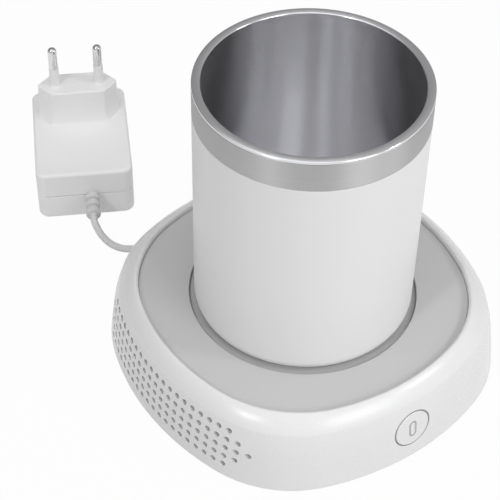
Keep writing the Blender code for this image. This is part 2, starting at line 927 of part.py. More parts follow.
def fan():
    half = stack_side / 2
    frame = part(
        "fan_frame",
        box_mesh("fan_frame", (-half, -half, fan_bottom), (half, half, fan_top)),
        black_plastic,
    )
    bore = bmesh.new()
    low, high = fan_bottom - cut_overrun, fan_top + cut_overrun
    add_cylinder(bore, fan_bore_radius, low, high, ring_sides)
    for x, y in corners(fan_hole_offset):
        add_cylinder(bore, fan_screw_radius + fit_gap, low, high, tiny_sides, x, y)
    cut(frame, helper("fan_bore", mesh_of("fan_bore", bore)))

    floor_top = fan_bottom + fan_hub_floor
    tube_top = floor_top + bearing_length
    hub = helper("fan_hub", cylinder_mesh("fan_hub", fan_hub_radius, fan_bottom, floor_top, ring_sides))
    add(frame, hub)
    struts = bmesh.new()
    for strut in range(fan_strut_count):
        spin = Matrix.Rotation(math.radians(30 + 360 * strut / fan_strut_count), 4, "Z")
        low = (fan_hub_radius / 2, -fan_strut_width / 2, fan_bottom)
        high = (fan_bore_radius + join_overlap, fan_strut_width / 2, floor_top)
        add_box(struts, low, high, spin)
    add(frame, helper("fan_struts", mesh_of("fan_struts", struts)))
    low = fan_bottom + fan_hub_floor / 2
    stem = cylinder_mesh("bearing_tube", bearing_tube_radius, low, tube_top, small_sides)
    add(frame, helper("bearing_tube", stem))
    bore_radius = bearing_radius + fit_gap
    hole = cylinder_mesh("bearing_bore", bore_radius, floor_top, tube_top + cut_overrun, small_sides)
    cut(frame, helper("bearing_bore", hole))

    sleeve_low = floor_top + fit_gap
    inner = shaft_radius + running_gap
    profile = [
        (inner, tube_top),
        (bearing_radius, tube_top),
        (bearing_radius, sleeve_low),
        (inner, sleeve_low),
    ]
    turned("fan_bearing", profile, copper, small_sides, closed=True)

    stator_low = floor_top + fit_gap
    stator_inner = bearing_tube_radius + fit_gap
    profile = [
        (stator_inner, stator_low + stator_height),
        (stator_radius, stator_low + stator_height),
        (stator_radius, stator_low),
        (stator_inner, stator_low),
    ]
    stator = turned("fan_stator", profile, copper, ring_sides, closed=True)
    slots = bmesh.new()
    for slot in range(4):
        spin = Matrix.Rotation(math.radians(45 + 90 * slot), 4, "Z")
        low = (stator_inner + rotor_wall, -stator_slot / 2, stator_low - cut_overrun)
        high = (stator_radius + cut_overrun, stator_slot / 2, stator_low + stator_height + cut_overrun)
        add_box(slots, low, high, spin)
    cut(stator, helper("stator_slots", mesh_of("stator_slots", slots)))

    rotor_low = floor_top + 2 * fit_gap
    rotor_high = rotor_low + rotor_height
    outer = fan_hub_radius
    hole = shaft_radius + running_gap
    cup_under = rotor_high - rotor_wall
    profile = [
        (hole, rotor_high),
        (outer - rotor_wall / 2, rotor_high),
        (outer, rotor_high - rotor_wall / 2),
        (outer, rotor_low),
        (outer - rotor_wall, rotor_low),
        (outer - rotor_wall, cup_under),
        (hole, cup_under),
    ]
    rotor = turned("fan_rotor", profile, black_plastic, ring_sides, closed=True)
    blades = bmesh.new()
    for blade in range(blade_count):
        spin = Matrix.Rotation(2 * math.pi * blade / blade_count, 4, "Z")
        tilt = Matrix.Rotation(math.radians(blade_tilt_degrees), 4, "X")
        lift = Matrix.Translation((0, 0, (rotor_low + rotor_high) / 2))
        low = (outer - rotor_wall / 2, -blade_chord / 2, -blade_thickness / 2)
        high = (rotor_radius, blade_chord / 2, blade_thickness / 2)
        add_box(blades, low, high, spin @ lift @ tilt)
    add(rotor, helper("fan_blades", mesh_of("fan_blades", blades)))
    low = floor_top + fit_gap
    shaft = part(
        "fan_shaft",
        cylinder_mesh("fan_shaft", shaft_radius, low, rotor_high, small_sides),
        bright_metal,
    )
    carry(axis_empty("fan_axis", (0, 0, fan_bottom)), rotor, shaft)


# Boards

def control_board():
    low = case_lift + control_board_rise
    top = low + board_thickness
    mesh = box_mesh(
        "control_board",
        (control_board_left, control_board_front, low),
        (control_board_right, control_board_back, top),
    )
    part("control_board", mesh, board_green)
    seat = top + fit_gap
    mesh = cylinder_mesh("power_inductor", inductor_radius, seat, seat + inductor_height, small_sides)
    part("power_inductor", mesh, foam_black, (inductor_x, control_board_back - inductor_inset, 0))
    mesh = cylinder_mesh("filter_capacitor", capacitor_radius, seat, seat + capacitor_height, small_sides)
    part("filter_capacitor", mesh, bright_metal, (capacitor_x, control_board_back - capacitor_inset, 0))
    half_length, half_width = chip_length / 2, chip_width / 2
    mesh = box_mesh(
        "driver_chip",
        (-half_length, -half_width, seat),
        (half_length, half_width, seat + chip_height),
    )
    part("driver_chip", mesh, black_plastic, (chip_x, control_board_front + chip_inset, 0))

    sensor_top = plate_bottom - fit_gap
    mesh = cylinder_mesh("plate_sensor", sensor_radius, sensor_top - sensor_length, sensor_top, tiny_sides)
    part("plate_sensor", mesh, ceramic_white, (sensor_x, 0, 0))

    start = module_side / 2 + fit_gap
    height = (module_top + module_bottom) / 2
    for number, x in enumerate((-module_lead_x, module_lead_x), 1):
        edge = stack_side / 2
        drop = control_board_front + board_post_inset
        route = [
            (x, start, height),
            (x, start + board_post_inset, height),
            (x, edge - lead_radius, height),
            (x, edge + 2 * lead_radius, height - lead_radius),
            (x, drop - lead_radius, height - module_thickness),
            (x, drop, height - 2 * module_thickness),
            (x, drop, seat + module_thickness),
            (x, drop, seat),
        ]
        look = lead_red if number == 1 else lead_black
        tube(f"module_lead_{number}", smooth_route(route, 5 * lead_radius), lead_radius, look)


def button_side():
    face = wall_side(button_rise) - button_recess
    spin = front_spin(0, button_height)
    inner_wall = wall_side(button_rise + button_flange_radius) - case_wall
    flange_front = inner_wall - fit_gap
    board_back = button_board_face - board_thickness
    stem_end = button_board_face + fit_gap + switch_depth + plunger_out + fit_gap

    profile = [
        (0, face),
        (button_radius - small_round, face),
        (button_radius, face - small_round),
        (button_radius, flange_front),
        (button_flange_radius, flange_front),
        (button_flange_radius, flange_front - button_flange),
        (button_stem_radius, flange_front - button_flange),
        (button_stem_radius, stem_end),
        (0, stem_end),
    ]
    cap = turned("button_cap", profile, white_plastic, ring_sides)
    cap.matrix_world = spin
    groove_floor = face - mark_depth - fit_gap
    groove = helper("mark_groove", pill_mesh("mark_groove", fit_gap, groove_floor, face + cut_overrun))
    groove.matrix_world = spin
    cut(cap, groove)
    mark = part("button_mark", pill_mesh("button_mark", 0.0, face - mark_depth, face), light_clear)
    mark.matrix_world = spin

    board = box_mesh(
        "button_board",
        (-button_board_width / 2, -button_board_face, -button_board_height / 2),
        (button_board_width / 2, -board_back, button_board_height / 2),
    )
    part("button_board", board, board_green, (0, 0, button_height))
    switch_back = button_board_face + fit_gap
    switch_front = switch_back + switch_depth
    half = switch_side / 2
    mesh = box_mesh("tact_switch", (-half, -switch_front, -half), (half, -switch_back, half))
    switch = part("tact_switch", mesh, black_plastic, (0, 0, button_height))
    low = switch_front - plunger_in - button_travel - fit_gap
    high = switch_front + cut_overrun
    bore = cylinder_mesh("switch_bore", plunger_radius + fit_gap, low, high, small_sides)
    bore = helper("switch_bore", bore)
    bore.matrix_world = spin
    cut(switch, bore)
    low = switch_front - plunger_in
    mesh = cylinder_mesh("switch_plunger", plunger_radius, low, switch_front + plunger_out, small_sides)
    plunger = part("switch_plunger", mesh, dark_grey_plastic)
    plunger.matrix_world = spin
    half = light_width / 2
    mesh = box_mesh(
        "status_light",
        (-half, -switch_back - light_depth, light_offset - light_height / 2),
        (half, -switch_back, light_offset + light_height / 2),
    )
    part("status_light", mesh, light_clear, (0, 0, button_height))
    carry(axis_empty("button_axis", (0, -face, button_height)), cap, mark, plunger)

    lead_start = -board_back + fit_gap
    lead_end = control_board_front - fit_gap
    board_middle = case_lift + control_board_rise + board_thickness / 2
    low = button_height - button_board_height / 4
    clear = stack_side / 2 + 4 * button_lead_radius
    turn_in = control_board_right - board_post_inset
    route = [
        (board_stay_width, lead_start, low),
        (board_stay_width, lead_start + board_stay_depth, low),
    ]
    half_way = (lead_start + board_stay_depth - clear) / 2
    route.append((clear / 2, half_way, board_middle))
    route.append((clear - lead_corner_cut, -clear - lead_corner_cut, board_middle))
    route.append((clear, lead_corner_run - clear, board_middle))
    route.append((clear, 0, board_middle))
    route.append((clear, control_board_front - lead_corner_run - lead_corner_cut, board_middle))
    route.append((turn_in, lead_end - board_post_inset / 2, board_middle))
    route.append((turn_in, lead_end, board_middle))
    tube("button_lead", smooth_route(route, 8 * button_lead_radius), button_lead_radius, lead_black)


def pill_mesh(name, spread, low, high):
    """An upright ring with round ends, as high along Z as it is deep, to be turned to the front."""
    shape = bmesh.new()
    outer_half = mark_width / 2 + spread
    inner_half = mark_width / 2 - mark_stroke - spread
    straight = (mark_height - mark_width) / 2
    rings = []
    for half, height in ((outer_half, low), (outer_half, high), (inner_half, high), (inner_half, low)):
        ring = []
        for middle, start in ((straight, 0.0), (-straight, math.pi)):
            for step in range(mark_end_steps + 1):
                angle = start + math.pi * step / mark_end_steps
                ring.append((half * math.cos(angle), middle + half * math.sin(angle), height))
        rings.append([shape.verts.new(spot) for spot in ring])
    for one, two in zip(rings, rings[1:] + rings[:1]):
        for i in range(len(one)):
            j = (i + 1) % len(one)
            shape.faces.new((one[i], one[j], two[j], two[i]))
    return mesh_of(name, shape)


# Power socket and the plug in it

def plug_front():
    """Where the plug's grip starts, clear of the sloping wall round the socket."""
    edge = socket_x - plug_grip_radius
    side = wall_side(socket_rise)
    return side - foot_side_arc + math.sqrt(foot_side_arc**2 - edge**2) + fit_gap


def socket():
    low = case_lift + control_board_rise + board_thickness + fit_gap
    high = low + socket_height
    mesh = box_mesh(
        "power_socket",
        (socket_x - socket_width / 2, socket_back, low),
        (socket_x + socket_width / 2, socket_body_front, high),
    )
    thing = part("power_socket", mesh, black_plastic)
    spin = back_spin(socket_x, socket_height_centre)
    nose_low = socket_body_front - join_overlap
    nose_high = plug_front() - fit_gap
    nose = cylinder_mesh("socket_nose", socket_nose_radius, nose_low, nose_high, small_sides)
    nose = helper("socket_nose", nose)
    nose.matrix_world = spin
    add(thing, nose)
    bore_high = nose_high + cut_overrun
    profile = [
        (socket_pin_radius, bore_high),
        (socket_bore_radius, bore_high),
        (socket_bore_radius, socket_bore_back),
        (socket_pin_radius, socket_bore_back),
    ]
    bore = screw(helper("socket_bore", turned_mesh("socket_bore", profile, closed=True)), small_sides)
    bore.matrix_world = spin
    cut(thing, bore)


def plug():
    spin = back_spin(socket_x, socket_height_centre)
    start = plug_front()
    barrel_low = start - plug_barrel_in
    barrel_high = start + plug_barrel_root
    profile = [
        (plug_bore_radius, barrel_high),
        (plug_barrel_radius, barrel_high),
        (plug_barrel_radius, barrel_low),
        (plug_bore_radius, barrel_low),
    ]
    barrel = turned("dc_plug_barrel", profile, bright_metal, small_sides, closed=True)
    barrel.matrix_world = spin
    grip_end = start + plug_grip_length
    tail_end = grip_end + plug_taper_length
    pocket = plug_barrel_radius + fit_gap
    profile = [
        (0, tail_end),
        (plug_tail_radius, tail_end),
        (plug_tail_root_radius, grip_end + plug_taper_length / 2),
        (plug_grip_radius - small_round, grip_end + small_round),
        (plug_grip_radius, grip_end - foot_round),
        (plug_grip_radius, start),
        (pocket, start),
        (pocket, barrel_high + fit_gap),
        (0, barrel_high + fit_gap),
    ]
    grip = turned("dc_plug_grip", profile, black_plastic, small_sides)
    grip.matrix_world = spin
    return barrel, grip, tail_end


# Cup

def cup():
    inner = cup_radius - sleeve_wall
    floor_hole = plate_radius + sleeve_floor
    collar_low = cup_top - collar_height
    sleeve_top = collar_low - fit_gap
    lip_low = cup_top - lip_thickness
    curve_up = cup_bottom + sleeve_round
    curve = arc(cup_radius - sleeve_round, curve_up, sleeve_round, sleeve_round, 90, 180, 3)
    profile = [(inner, sleeve_top), (cup_radius, sleeve_top), *curve]
    profile += [
        (floor_hole, cup_bottom),
        (floor_hole, cup_bottom + sleeve_floor),
        (inner - sleeve_round / 2, cup_bottom + sleeve_floor),
        (inner, cup_bottom + sleeve_floor + sleeve_round / 2),
    ]
    sleeve = turned("mug_sleeve", profile, white_plastic, cup_sides, closed=True)

    collar_top = lip_low - fit_gap
    profile = [
        (cup_radius - collar_wall, collar_top),
        (cup_radius, collar_top),
        (cup_radius, collar_low),
        (cup_radius - collar_wall, collar_low),
    ]
    collar = turned("mug_collar", profile, satin_silver, cup_sides, closed=True)

    disc_radius = floor_hole - fit_gap
    disc_top = cup_bottom + disc_thickness
    profile = [(0, disc_top), (disc_radius, disc_top), (disc_radius, cup_bottom), (0, cup_bottom)]
    disc = turned("mug_base_disc", profile, plate_metal, cup_sides)

    liner_low = disc_top + fit_gap
    liner_outer = liner_outer_radius
    outer_corner = liner_corner + liner_wall
    corner_across, corner_up = liner_outer - outer_corner, liner_low + outer_corner
    profile = arc(corner_across, corner_up, outer_corner, outer_corner, 90, 180, 3)
    profile = [(liner_outer, lip_low), *profile, (0, liner_low)]
    lip = arc(cup_radius - lip_roll / 2, cup_top - lip_roll / 2, lip_roll / 2, lip_roll / 2, 0, 90, 2)
    lip = [(liner_inner_radius + lip_roll / 3, cup_top), *lip, (cup_radius, lip_low)]
    profile = lip + profile
    inside = arc(
        liner_inner_radius - liner_corner,
        liner_low + liner_wall + liner_corner,
        liner_corner,
        liner_corner,
        180,
        90,
        3,
    )
    profile += [(0, liner_low + liner_wall), *inside, (liner_inner_radius, cup_top - lip_roll / 3)]
    liner = turned("mug_liner", profile, brushed_steel, cup_sides, closed=True)

    seal_outer = inner - fit_gap
    seal_inner = liner_outer + fit_gap
    seal_high = sleeve_top - seal_drop
    profile = [
        (seal_inner, seal_high),
        (seal_outer, seal_high),
        (seal_outer, seal_high - seal_height),
        (seal_inner, seal_high - seal_height),
    ]
    seal = turned("mug_seal", profile, seal_white, cup_sides, closed=True)
    carry(axis_empty("mug_axis", (0, 0, cup_bottom)), sleeve, collar, disc, liner, seal)


# Lead: routes are chosen by hand, the coil is worked out

def coil_points():
    """Piled loops: each layer winds in or out at a steady rate, and climbs in the half turn between."""
    turns = coil_layers * coil_layer_turns
    count = round(turns * coil_loop_points)
    outer = coil_inner_radius + coil_pitch * coil_layer_turns
    points = []
    for i in range(count + 1):
        turn = turns * i / count
        layer, within = divmod(turn, coil_layer_turns)
        if layer >= coil_layers:
            layer, within = coil_layers - 1, coil_layer_turns
        inward = int(layer) % 2 == 0
        radius = outer - coil_pitch * within if inward else coil_inner_radius + coil_pitch * within
        height = layer
        if within > coil_layer_turns - climb_share and layer < coil_layers - 1:
            height += ease((within - coil_layer_turns + climb_share) / (2 * climb_share))
        if within < climb_share and layer > 0:
            height += ease((within + climb_share) / (2 * climb_share)) - 1
        angle = math.radians(coil_start_degrees) - 2 * math.pi * turn
        points.append(
            (
                coil_x + radius * math.cos(angle),
                coil_y + radius * math.sin(angle),
                cord_radius + height * coil_pitch,
            )
        )
    start, end = np.array(points[0]), np.array(points[-1])
    straight = 2 * cord_radius
    first = start - np.array([straight, 0, 0])
    last = end - np.array([straight, 0, 0])
    return np.vstack([first, points, last])


def ease(share):
    return share * share * (3 - 2 * share)


def least_gap(points):
    """The least clear gap of a tube to itself, between stretches at least half a turn apart."""
    far = coil_loop_points // 2
    least = math.inf
    for i in range(len(points) - far):
        away = np.linalg.norm(points[i + far:] - points[i], axis=1)
        least = min(least, float(away.min()))
    return least - 2 * cord_radius


def lead():
    barrel, grip, tail_end = plug()
    coil = coil_points()
    print(f"coil: least gap to itself {least_gap(coil) * 1000:.2f} mm")
    print(f"coil: {length_of(coil) * 1000:.0f} mm of cord")
    start = np.array([socket_x, tail_end + cord_gap, socket_height_centre])
    route = [
        start,
        (0.0242, 0.0965, 0.0127),
        (0.0253, 0.1020, 0.0112),
        (0.0292, 0.1090, 0.0078),
        (0.0360, 0.1148, 0.0042),
        (0.0450, 0.1180, 0.0021),
        coil[0] - np.array([5 * cord_gap + cord_radius, 0, 0]),
        coil[0] - np.array([cord_gap, 0, 0]),
    ]
    first = tube("cord_from_plug", smooth_route(route, 5 * cord_radius), cord_radius, cord_grey)
    first_length = length_of(smooth_route(route, 5 * cord_radius))
    wound = tube("cord_coil", coil, cord_radius, cord_grey, resolution=1)

    relief = relief_end()
    toward = adapter_direction()
    route = [
        coil[-1] - np.array([cord_gap, 0, 0]),
        coil[-1] - np.array([3 * cord_radius, 0, cord_gap]),
        (0.0480, 0.0757, 0.0098),
        (0.0390, 0.0765, 0.0058),
        (0.0290, 0.0771, 0.0026),
        (0.0180, 0.0774, 0.0016),
        (0.0050, 0.0774, 0.0016),
        (-0.0080, 0.0770, 0.0016),
        (-0.0180, 0.0769, 0.0016),
        (-0.0245, 0.0778, 0.0016),
        (-0.0292, 0.0797, 0.0016),
        (-0.0330, 0.0822, 0.0019),
        (-0.0364, 0.0856, 0.0037),
        (-0.0385, 0.0893, 0.0070),
        (-0.0390, 0.0925, 0.0100),
        relief - toward * 2 * cord_radius,
    ]
    route = np.vstack([smooth_route(route, 5 * cord_radius), relief - toward * cord_gap])
    second = tube("cord_to_adapter", route, cord_radius, cord_grey)
    second_length = length_of(route)
    total = first_length + length_of(coil) + second_length
    print(f"lead: {total * 1000:.0f} mm of cord")
    pieces = [barrel, grip, first, wound, second, *adapter()]
    carry(axis_empty("plug_axis", (socket_x, plug_front(), socket_height_centre)), *pieces)


# Wall adapter, lying on its back with the cord end towards the base

def adapter_direction():
    angle = math.radians(adapter_turn_degrees)
    return np.array([math.cos(angle), math.sin(angle), 0.0])


def relief_end():
    root = np.array([relief_x, relief_y, adapter_middle])
    return root - adapter_direction() * relief_length


def adapter_place():
    """The middle of the cord end's lower edge, and the turn that brings local +Y along the adapter."""
    toward = adapter_direction()
    sideways = np.array([-toward[1], toward[0], 0.0])
    root = np.array([relief_x, relief_y, 0.0])
    place = root + sideways * relief_offset
    return place, math.radians(adapter_turn_degrees - 90)


def rounded_block(name, width, length, corner, edge, low, high, open_low):
    """A block with round upright corners and one soft edge, at the bottom if open_low, else at the top."""
    flat, soft = (high, low) if open_low else (low, high)
    into = edge if open_low else -edge
    rings = [(corner_outline(width, length, corner, 0.0), flat)]
    for step in range(edge_steps + 1):
        angle = math.radians(90 * step / edge_steps)
        inset = edge * (1 - math.cos(angle))
        height = soft + into * (1 - math.sin(angle))
        rings.append((corner_outline(width, length, corner, inset), height))
    return loft_mesh(name, rings, closed=False)


def corner_outline(width, length, corner, inset):
    """A rectangle with round corners whose near edge is on the X axis, drawn in by the inset."""
    points = []
    radius = corner - inset
    for centre_x, centre_y, start in (
        (width / 2 - corner, corner, -90),
        (width / 2 - corner, length - corner, 0),
        (corner - width / 2, length - corner, 90),
        (corner - width / 2, corner, 180),
    ):
        for step in range(corner_steps + 1):
            angle = math.radians(start + 90 * step / corner_steps)
            points.append((centre_x + radius * math.cos(angle), centre_y + radius * math.sin(angle)))
    return points


def hexagon(middle, spread):
    """The plug block's outline: long flats along the adapter's width, a point at each side."""
    half, up = (block_width + spread) / 2, (block_height + spread) / 2
    flat = half - block_tip
    upper = [(half, middle), (flat, middle + up), (-flat, middle + up)]
    return upper + [(-half, middle), (-flat, middle - up), (flat, middle - up)]


def adapter():
    place, turn = adapter_place()
    seam = adapter_middle
    block_y = adapter_length - block_from_top
    wall = adapter_wall
    inner_width, inner_length = adapter_width - 2 * wall, adapter_length - 2 * wall
    inner_corner = adapter_corner - wall

    back = rounded_block(
        "adapter_back_shell",
        adapter_width,
        adapter_length,
        adapter_corner,
        adapter_edge,
        0.0,
        seam - fit_gap / 2,
        open_low=True,
    )
    back = part("adapter_back_shell", back, white_plastic, place, turn)
    hollow = rounded_block(
        "back_hollow",
        inner_width,
        inner_length,
        inner_corner,
        adapter_edge / 2,
        wall,
        seam + cut_overrun,
        open_low=True,
    )
    hollow.transform(Matrix.Translation((0, wall, 0)))
    cut(back, helper("back_hollow", hollow, place, turn))

    front = rounded_block(
        "adapter_front_shell",
        adapter_width,
        adapter_length,
        adapter_corner,
        adapter_edge,
        seam + fit_gap / 2,
        adapter_depth,
        open_low=False,
    )
    front = part("adapter_front_shell", front, white_plastic, place, turn)
    top = adapter_depth
    rings = [
        (hexagon(block_y, block_root_spread), top - join_overlap),
        (hexagon(block_y, 0.0), top + block_root_rise),
        (hexagon(block_y, 0.0), top + block_rise - adapter_edge / 2),
        (hexagon(block_y, -adapter_edge), top + block_rise),
    ]
    add(front, helper("plug_block", loft_mesh("plug_block", rings, closed=False), place, turn))
    sleeves = bmesh.new()
    for x in (-pin_spacing / 2, pin_spacing / 2):
        low = top + block_rise - join_overlap
        high = top + block_rise + pin_sleeve
        add_cylinder(sleeves, pin_sleeve_radius, low, high, small_sides, x, block_y)
    add(front, helper("pin_sleeves", mesh_of("pin_sleeves", sleeves), place, turn))
    hollow = rounded_block(
        "front_hollow",
        inner_width,
        inner_length,
        inner_corner,
        adapter_edge / 2,
        seam - cut_overrun,
        top - wall,
        open_low=False,
    )
    hollow.transform(Matrix.Translation((0, wall, 0)))
    cut(front, helper("front_hollow", hollow, place, turn))
    bores = bmesh.new()
    for x in (-pin_spacing / 2, pin_spacing / 2):
        high = top + block_rise + pin_sleeve + cut_overrun
        low = top - wall - cut_overrun
        add_cylinder(bores, pin_core_radius + fit_gap, low, high, small_sides, x, block_y)
    cut(front, helper("pin_bores", mesh_of("pin_bores", bores), place, turn))

    for shell, name in ((back, "back_cord_hole"), (front, "front_cord_hole")):
        shape = bmesh.new()
        spin = Matrix.Translation((relief_offset, 0, seam)) @ facing_back
        hole = relief_neck_radius + fit_gap
        add_cylinder(shape, hole, -cut_overrun, wall + cut_overrun, small_sides, spin=spin)
        cut(shell, helper(name, mesh_of(name, shape), place, turn))

    pins = []
    for number, x in enumerate((-pin_spacing / 2, pin_spacing / 2), 1):
        high = top + block_rise + pin_sleeve + fit_gap + pin_metal
        step = high - pin_metal
        low = top - wall - pin_inside
        dome = arc(0, high - pin_radius, pin_radius, pin_radius, 0, 90, 3)
        profile = [*dome, (pin_radius, step), (pin_core_radius, step), (pin_core_radius, low), (0, low)]
        pin = turned(f"adapter_pin_{number}", profile, bright_metal, small_sides)
        stand = Matrix.Translation(place) @ Matrix.Rotation(turn, 4, "Z")
        pin.matrix_world = stand @ Matrix.Translation((x, block_y, 0))
        pins.append(pin)

    relief = strain_relief(place, turn, seam)
    board_low = wall + power_post_height
    board_top = board_low + power_board_thickness
    half = power_board_width / 2
    start = (adapter_length - power_board_length) / 2 + cut_overrun
    mesh = box_mesh(
        "adapter_board",
        (-half, start, board_low),
        (half, start + power_board_length, board_top),
    )
    board = part("adapter_board", mesh, board_green, place, turn)
    posts = bmesh.new()
    for x in (board_post_inset - half, half - board_post_inset):
        for y in (start + board_post_inset, start + power_board_length - board_post_inset):
            low = wall - join_overlap
            add_cylinder(posts, power_post_radius, low, board_low - fit_gap, tiny_sides, x, y)
    add(back, helper("adapter_posts", mesh_of("adapter_posts", posts), place, turn))
    seat = board_top + fit_gap
    middle = start + power_board_length / 2
    mesh = box_mesh(
        "adapter_transformer",
        (-transformer_width / 2, middle - transformer_length / 2, seat),
        (transformer_width / 2, middle + transformer_length / 2, seat + transformer_height),
    )
    transformer = part("adapter_transformer", mesh, copper, place, turn)
    shape = bmesh.new()
    lie = Matrix.Translation((0, middle + transformer_length, seat + bulk_capacitor_radius))
    lie = lie @ Matrix.Rotation(math.radians(90), 4, "Y")
    half = bulk_capacitor_length / 2
    add_cylinder(shape, bulk_capacitor_radius, -half, half, small_sides, spin=lie)
    capacitor = part("adapter_capacitor", mesh_of("adapter_capacitor", shape), black_plastic, place, turn)
    return [back, front, *pins, relief, board, transformer, capacitor]


def strain_relief(place, turn, seam):
    """Ribs outside the end wall, a neck through it and a flange behind it."""
    outside = relief_length
    rib = outside / relief_rib_count
    inside = -adapter_wall - fit_gap
    end = inside - relief_flange
    profile = [(0, outside)]
    for number in range(relief_rib_count):
        high = outside - number * rib
        low = high - rib * relief_rib_share
        profile += [(relief_radius, high), (relief_radius, low)]
        if number < relief_rib_count - 1:
            profile += [(relief_neck_radius, low), (relief_neck_radius, high - rib)]
    profile += [(relief_radius, fit_gap), (relief_neck_radius, fit_gap)]
    profile += [(relief_neck_radius, inside), (relief_radius, inside), (relief_radius, end), (0, end)]
    thing = turned("adapter_strain_relief", profile, cord_grey, small_sides)
    local = Matrix.Translation(place) @ Matrix.Rotation(turn, 4, "Z")
    thing.matrix_world = local @ Matrix.Translation((relief_offset, 0, seam)) @ facing_front
    return thing


top_cover()
bottom_cover()
feet_and_case_screws()
tray()
well_and_plate()
module_and_insulation()
heat_sink()
fan_screws()
fan()
control_board()
button_side()
socket()
cup()
lead()
bpy.context.view_layer.update()
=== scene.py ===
import math

import bmesh
import bpy
import numpy as np
from mathutils import Matrix, Vector


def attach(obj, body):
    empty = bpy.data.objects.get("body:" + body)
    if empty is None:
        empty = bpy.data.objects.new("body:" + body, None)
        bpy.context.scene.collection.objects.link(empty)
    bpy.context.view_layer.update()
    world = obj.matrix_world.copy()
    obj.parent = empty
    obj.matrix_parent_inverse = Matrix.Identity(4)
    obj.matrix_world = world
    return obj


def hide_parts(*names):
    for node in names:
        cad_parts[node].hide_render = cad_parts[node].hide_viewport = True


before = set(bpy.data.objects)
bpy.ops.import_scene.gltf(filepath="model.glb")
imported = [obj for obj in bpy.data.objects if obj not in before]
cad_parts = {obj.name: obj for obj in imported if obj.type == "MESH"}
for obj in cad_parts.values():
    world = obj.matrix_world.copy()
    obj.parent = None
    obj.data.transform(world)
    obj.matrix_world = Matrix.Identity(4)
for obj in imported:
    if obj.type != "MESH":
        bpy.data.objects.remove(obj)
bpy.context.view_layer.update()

# Warming and cooling cup on its base, with the wall adapter. Metres, +Z up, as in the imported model.

scene = bpy.context.scene
quarterTurn = Matrix.Rotation(math.radians(90), 4, "X")  # lays +Z along −Y
turnSteps = 144  # round the cup and other large turned pieces
fineSteps = 48  # round small turned pieces
softEdge = 0.0003  # rounding or slope of a moulded edge
fineEdge = 0.0002  # the same on a small or turned piece
sharpEdge = 0.0001  # a barely broken edge
roundingStep = 0.00025  # length of one facet of a turned piece's rounding


# Camera: the photograph's view

camera = {
    "place": (-0.25868, -0.32667, 0.46603),
    "right": (0.81381, -0.58113, 0.0),
    "up": (0.41085, 0.57535, 0.70723),
    "back": (-0.41099, -0.57555, 0.70698),
    "roll": 1.05,  # degrees
    "lens": 111.92,
    "sensor": 36.0,
}


def makeCamera():
    data = bpy.data.cameras.new("camera")
    data.lens = camera["lens"]
    data.sensor_width = camera["sensor"]
    data.clip_start = 0.01
    data.clip_end = 20.0
    roll = math.radians(camera["roll"])
    right, up = Vector(camera["right"]), Vector(camera["up"])
    across = right * math.cos(roll) + up * math.sin(roll)
    upwards = up * math.cos(roll) - right * math.sin(roll)
    columns = Matrix((across, upwards, Vector(camera["back"]))).transposed()
    obj = bpy.data.objects.new("camera", data)
    obj.matrix_world = Matrix.Translation(camera["place"]) @ columns.to_4x4()
    scene.collection.objects.link(obj)
    scene.camera = obj


makeCamera()
print("camera placed")


# Finishes

# Gives a node's inputs their values; a value may be another node's output
def setInputs(tree, node, inputs):
    for place, value in inputs.items():
        if isinstance(value, bpy.types.NodeSocket):
            tree.links.new(value, node.inputs[place])
        else:
            node.inputs[place].default_value = value


def addNode(tree, kind, inputs, **settings):
    node = tree.nodes.new(f"ShaderNode{kind}")
    for name, value in settings.items():
        setattr(node, name, value)
    setInputs(tree, node, inputs)
    return node


def newFinish(name):
    material = bpy.data.materials.new(name)
    material.use_nodes = True
    return material, material.node_tree, material.node_tree.nodes["Principled BSDF"]


def objectPlace(tree):
    return addNode(tree, "TexCoord", {}).outputs["Object"]


def addNoise(tree, place, scale, detail=2.0):
    return addNode(tree, "TexNoise", {"Vector": place, "Scale": scale, "Detail": detail}).outputs["Fac"]


def addRange(tree, source, low, high, fromLow=0.3, fromHigh=0.7):
    ends = {"From Min": fromLow, "From Max": fromHigh, "To Min": low, "To Max": high}
    return addNode(tree, "MapRange", {"Value": source, **ends}).outputs["Result"]


def addMix(tree, share, first, second):
    inputs = {"Factor": share, "A": (*first, 1.0), "B": (*second, 1.0)}
    return addNode(tree, "Mix", inputs, data_type="RGBA").outputs["Result"]


def addBump(tree, height, depth):
    return addNode(tree, "Bump", {"Height": height, "Distance": depth, "Strength": 1.0}).outputs["Normal"]


def addMath(tree, operation, *values):
    return addNode(tree, "Math", dict(enumerate(values)), operation=operation).outputs["Value"]


def shade(colour, share):
    return tuple(min(1.0, part * share) for part in colour)


def grey(level):
    return (level, level, level)


# A moulded plastic or rubber: cloudy tint, a fine spark-eroded grain, uneven gloss
def moulded(name, colour, roughness, grain=2600.0, depth=0.000012, tint=0.015, gloss=0.05, level=0.5):
    material, tree, shader = newFinish(name)
    place = objectPlace(tree)
    cloud, fine = addNoise(tree, place, 38.0), addNoise(tree, place, grain, 3.0)
    setInputs(tree, shader, {
        "Base Color": addMix(tree, cloud, shade(colour, 1 - tint), shade(colour, 1 + tint)),
        "Roughness": addRange(tree, fine, roughness - gloss, roughness + gloss),
        "Specular IOR Level": level,
        "Normal": addBump(tree, fine, depth),
    })
    return material


# A metal with a blasted grain
def blasted(name, colour, roughness, grain=3200.0, depth=0.00001, tint=0.05):
    material, tree, shader = newFinish(name)
    place = objectPlace(tree)
    cloud, fine = addNoise(tree, place, 55.0), addNoise(tree, place, grain, 4.0)
    setInputs(tree, shader, {
        "Base Color": addMix(tree, fine, shade(colour, 1 - tint), shade(colour, 1 + tint)),
        "Roughness": addRange(tree, cloud, roughness - 0.03, roughness + 0.03),
        "Metallic": 1.0,
        "Normal": addBump(tree, fine, depth),
    })
    return material


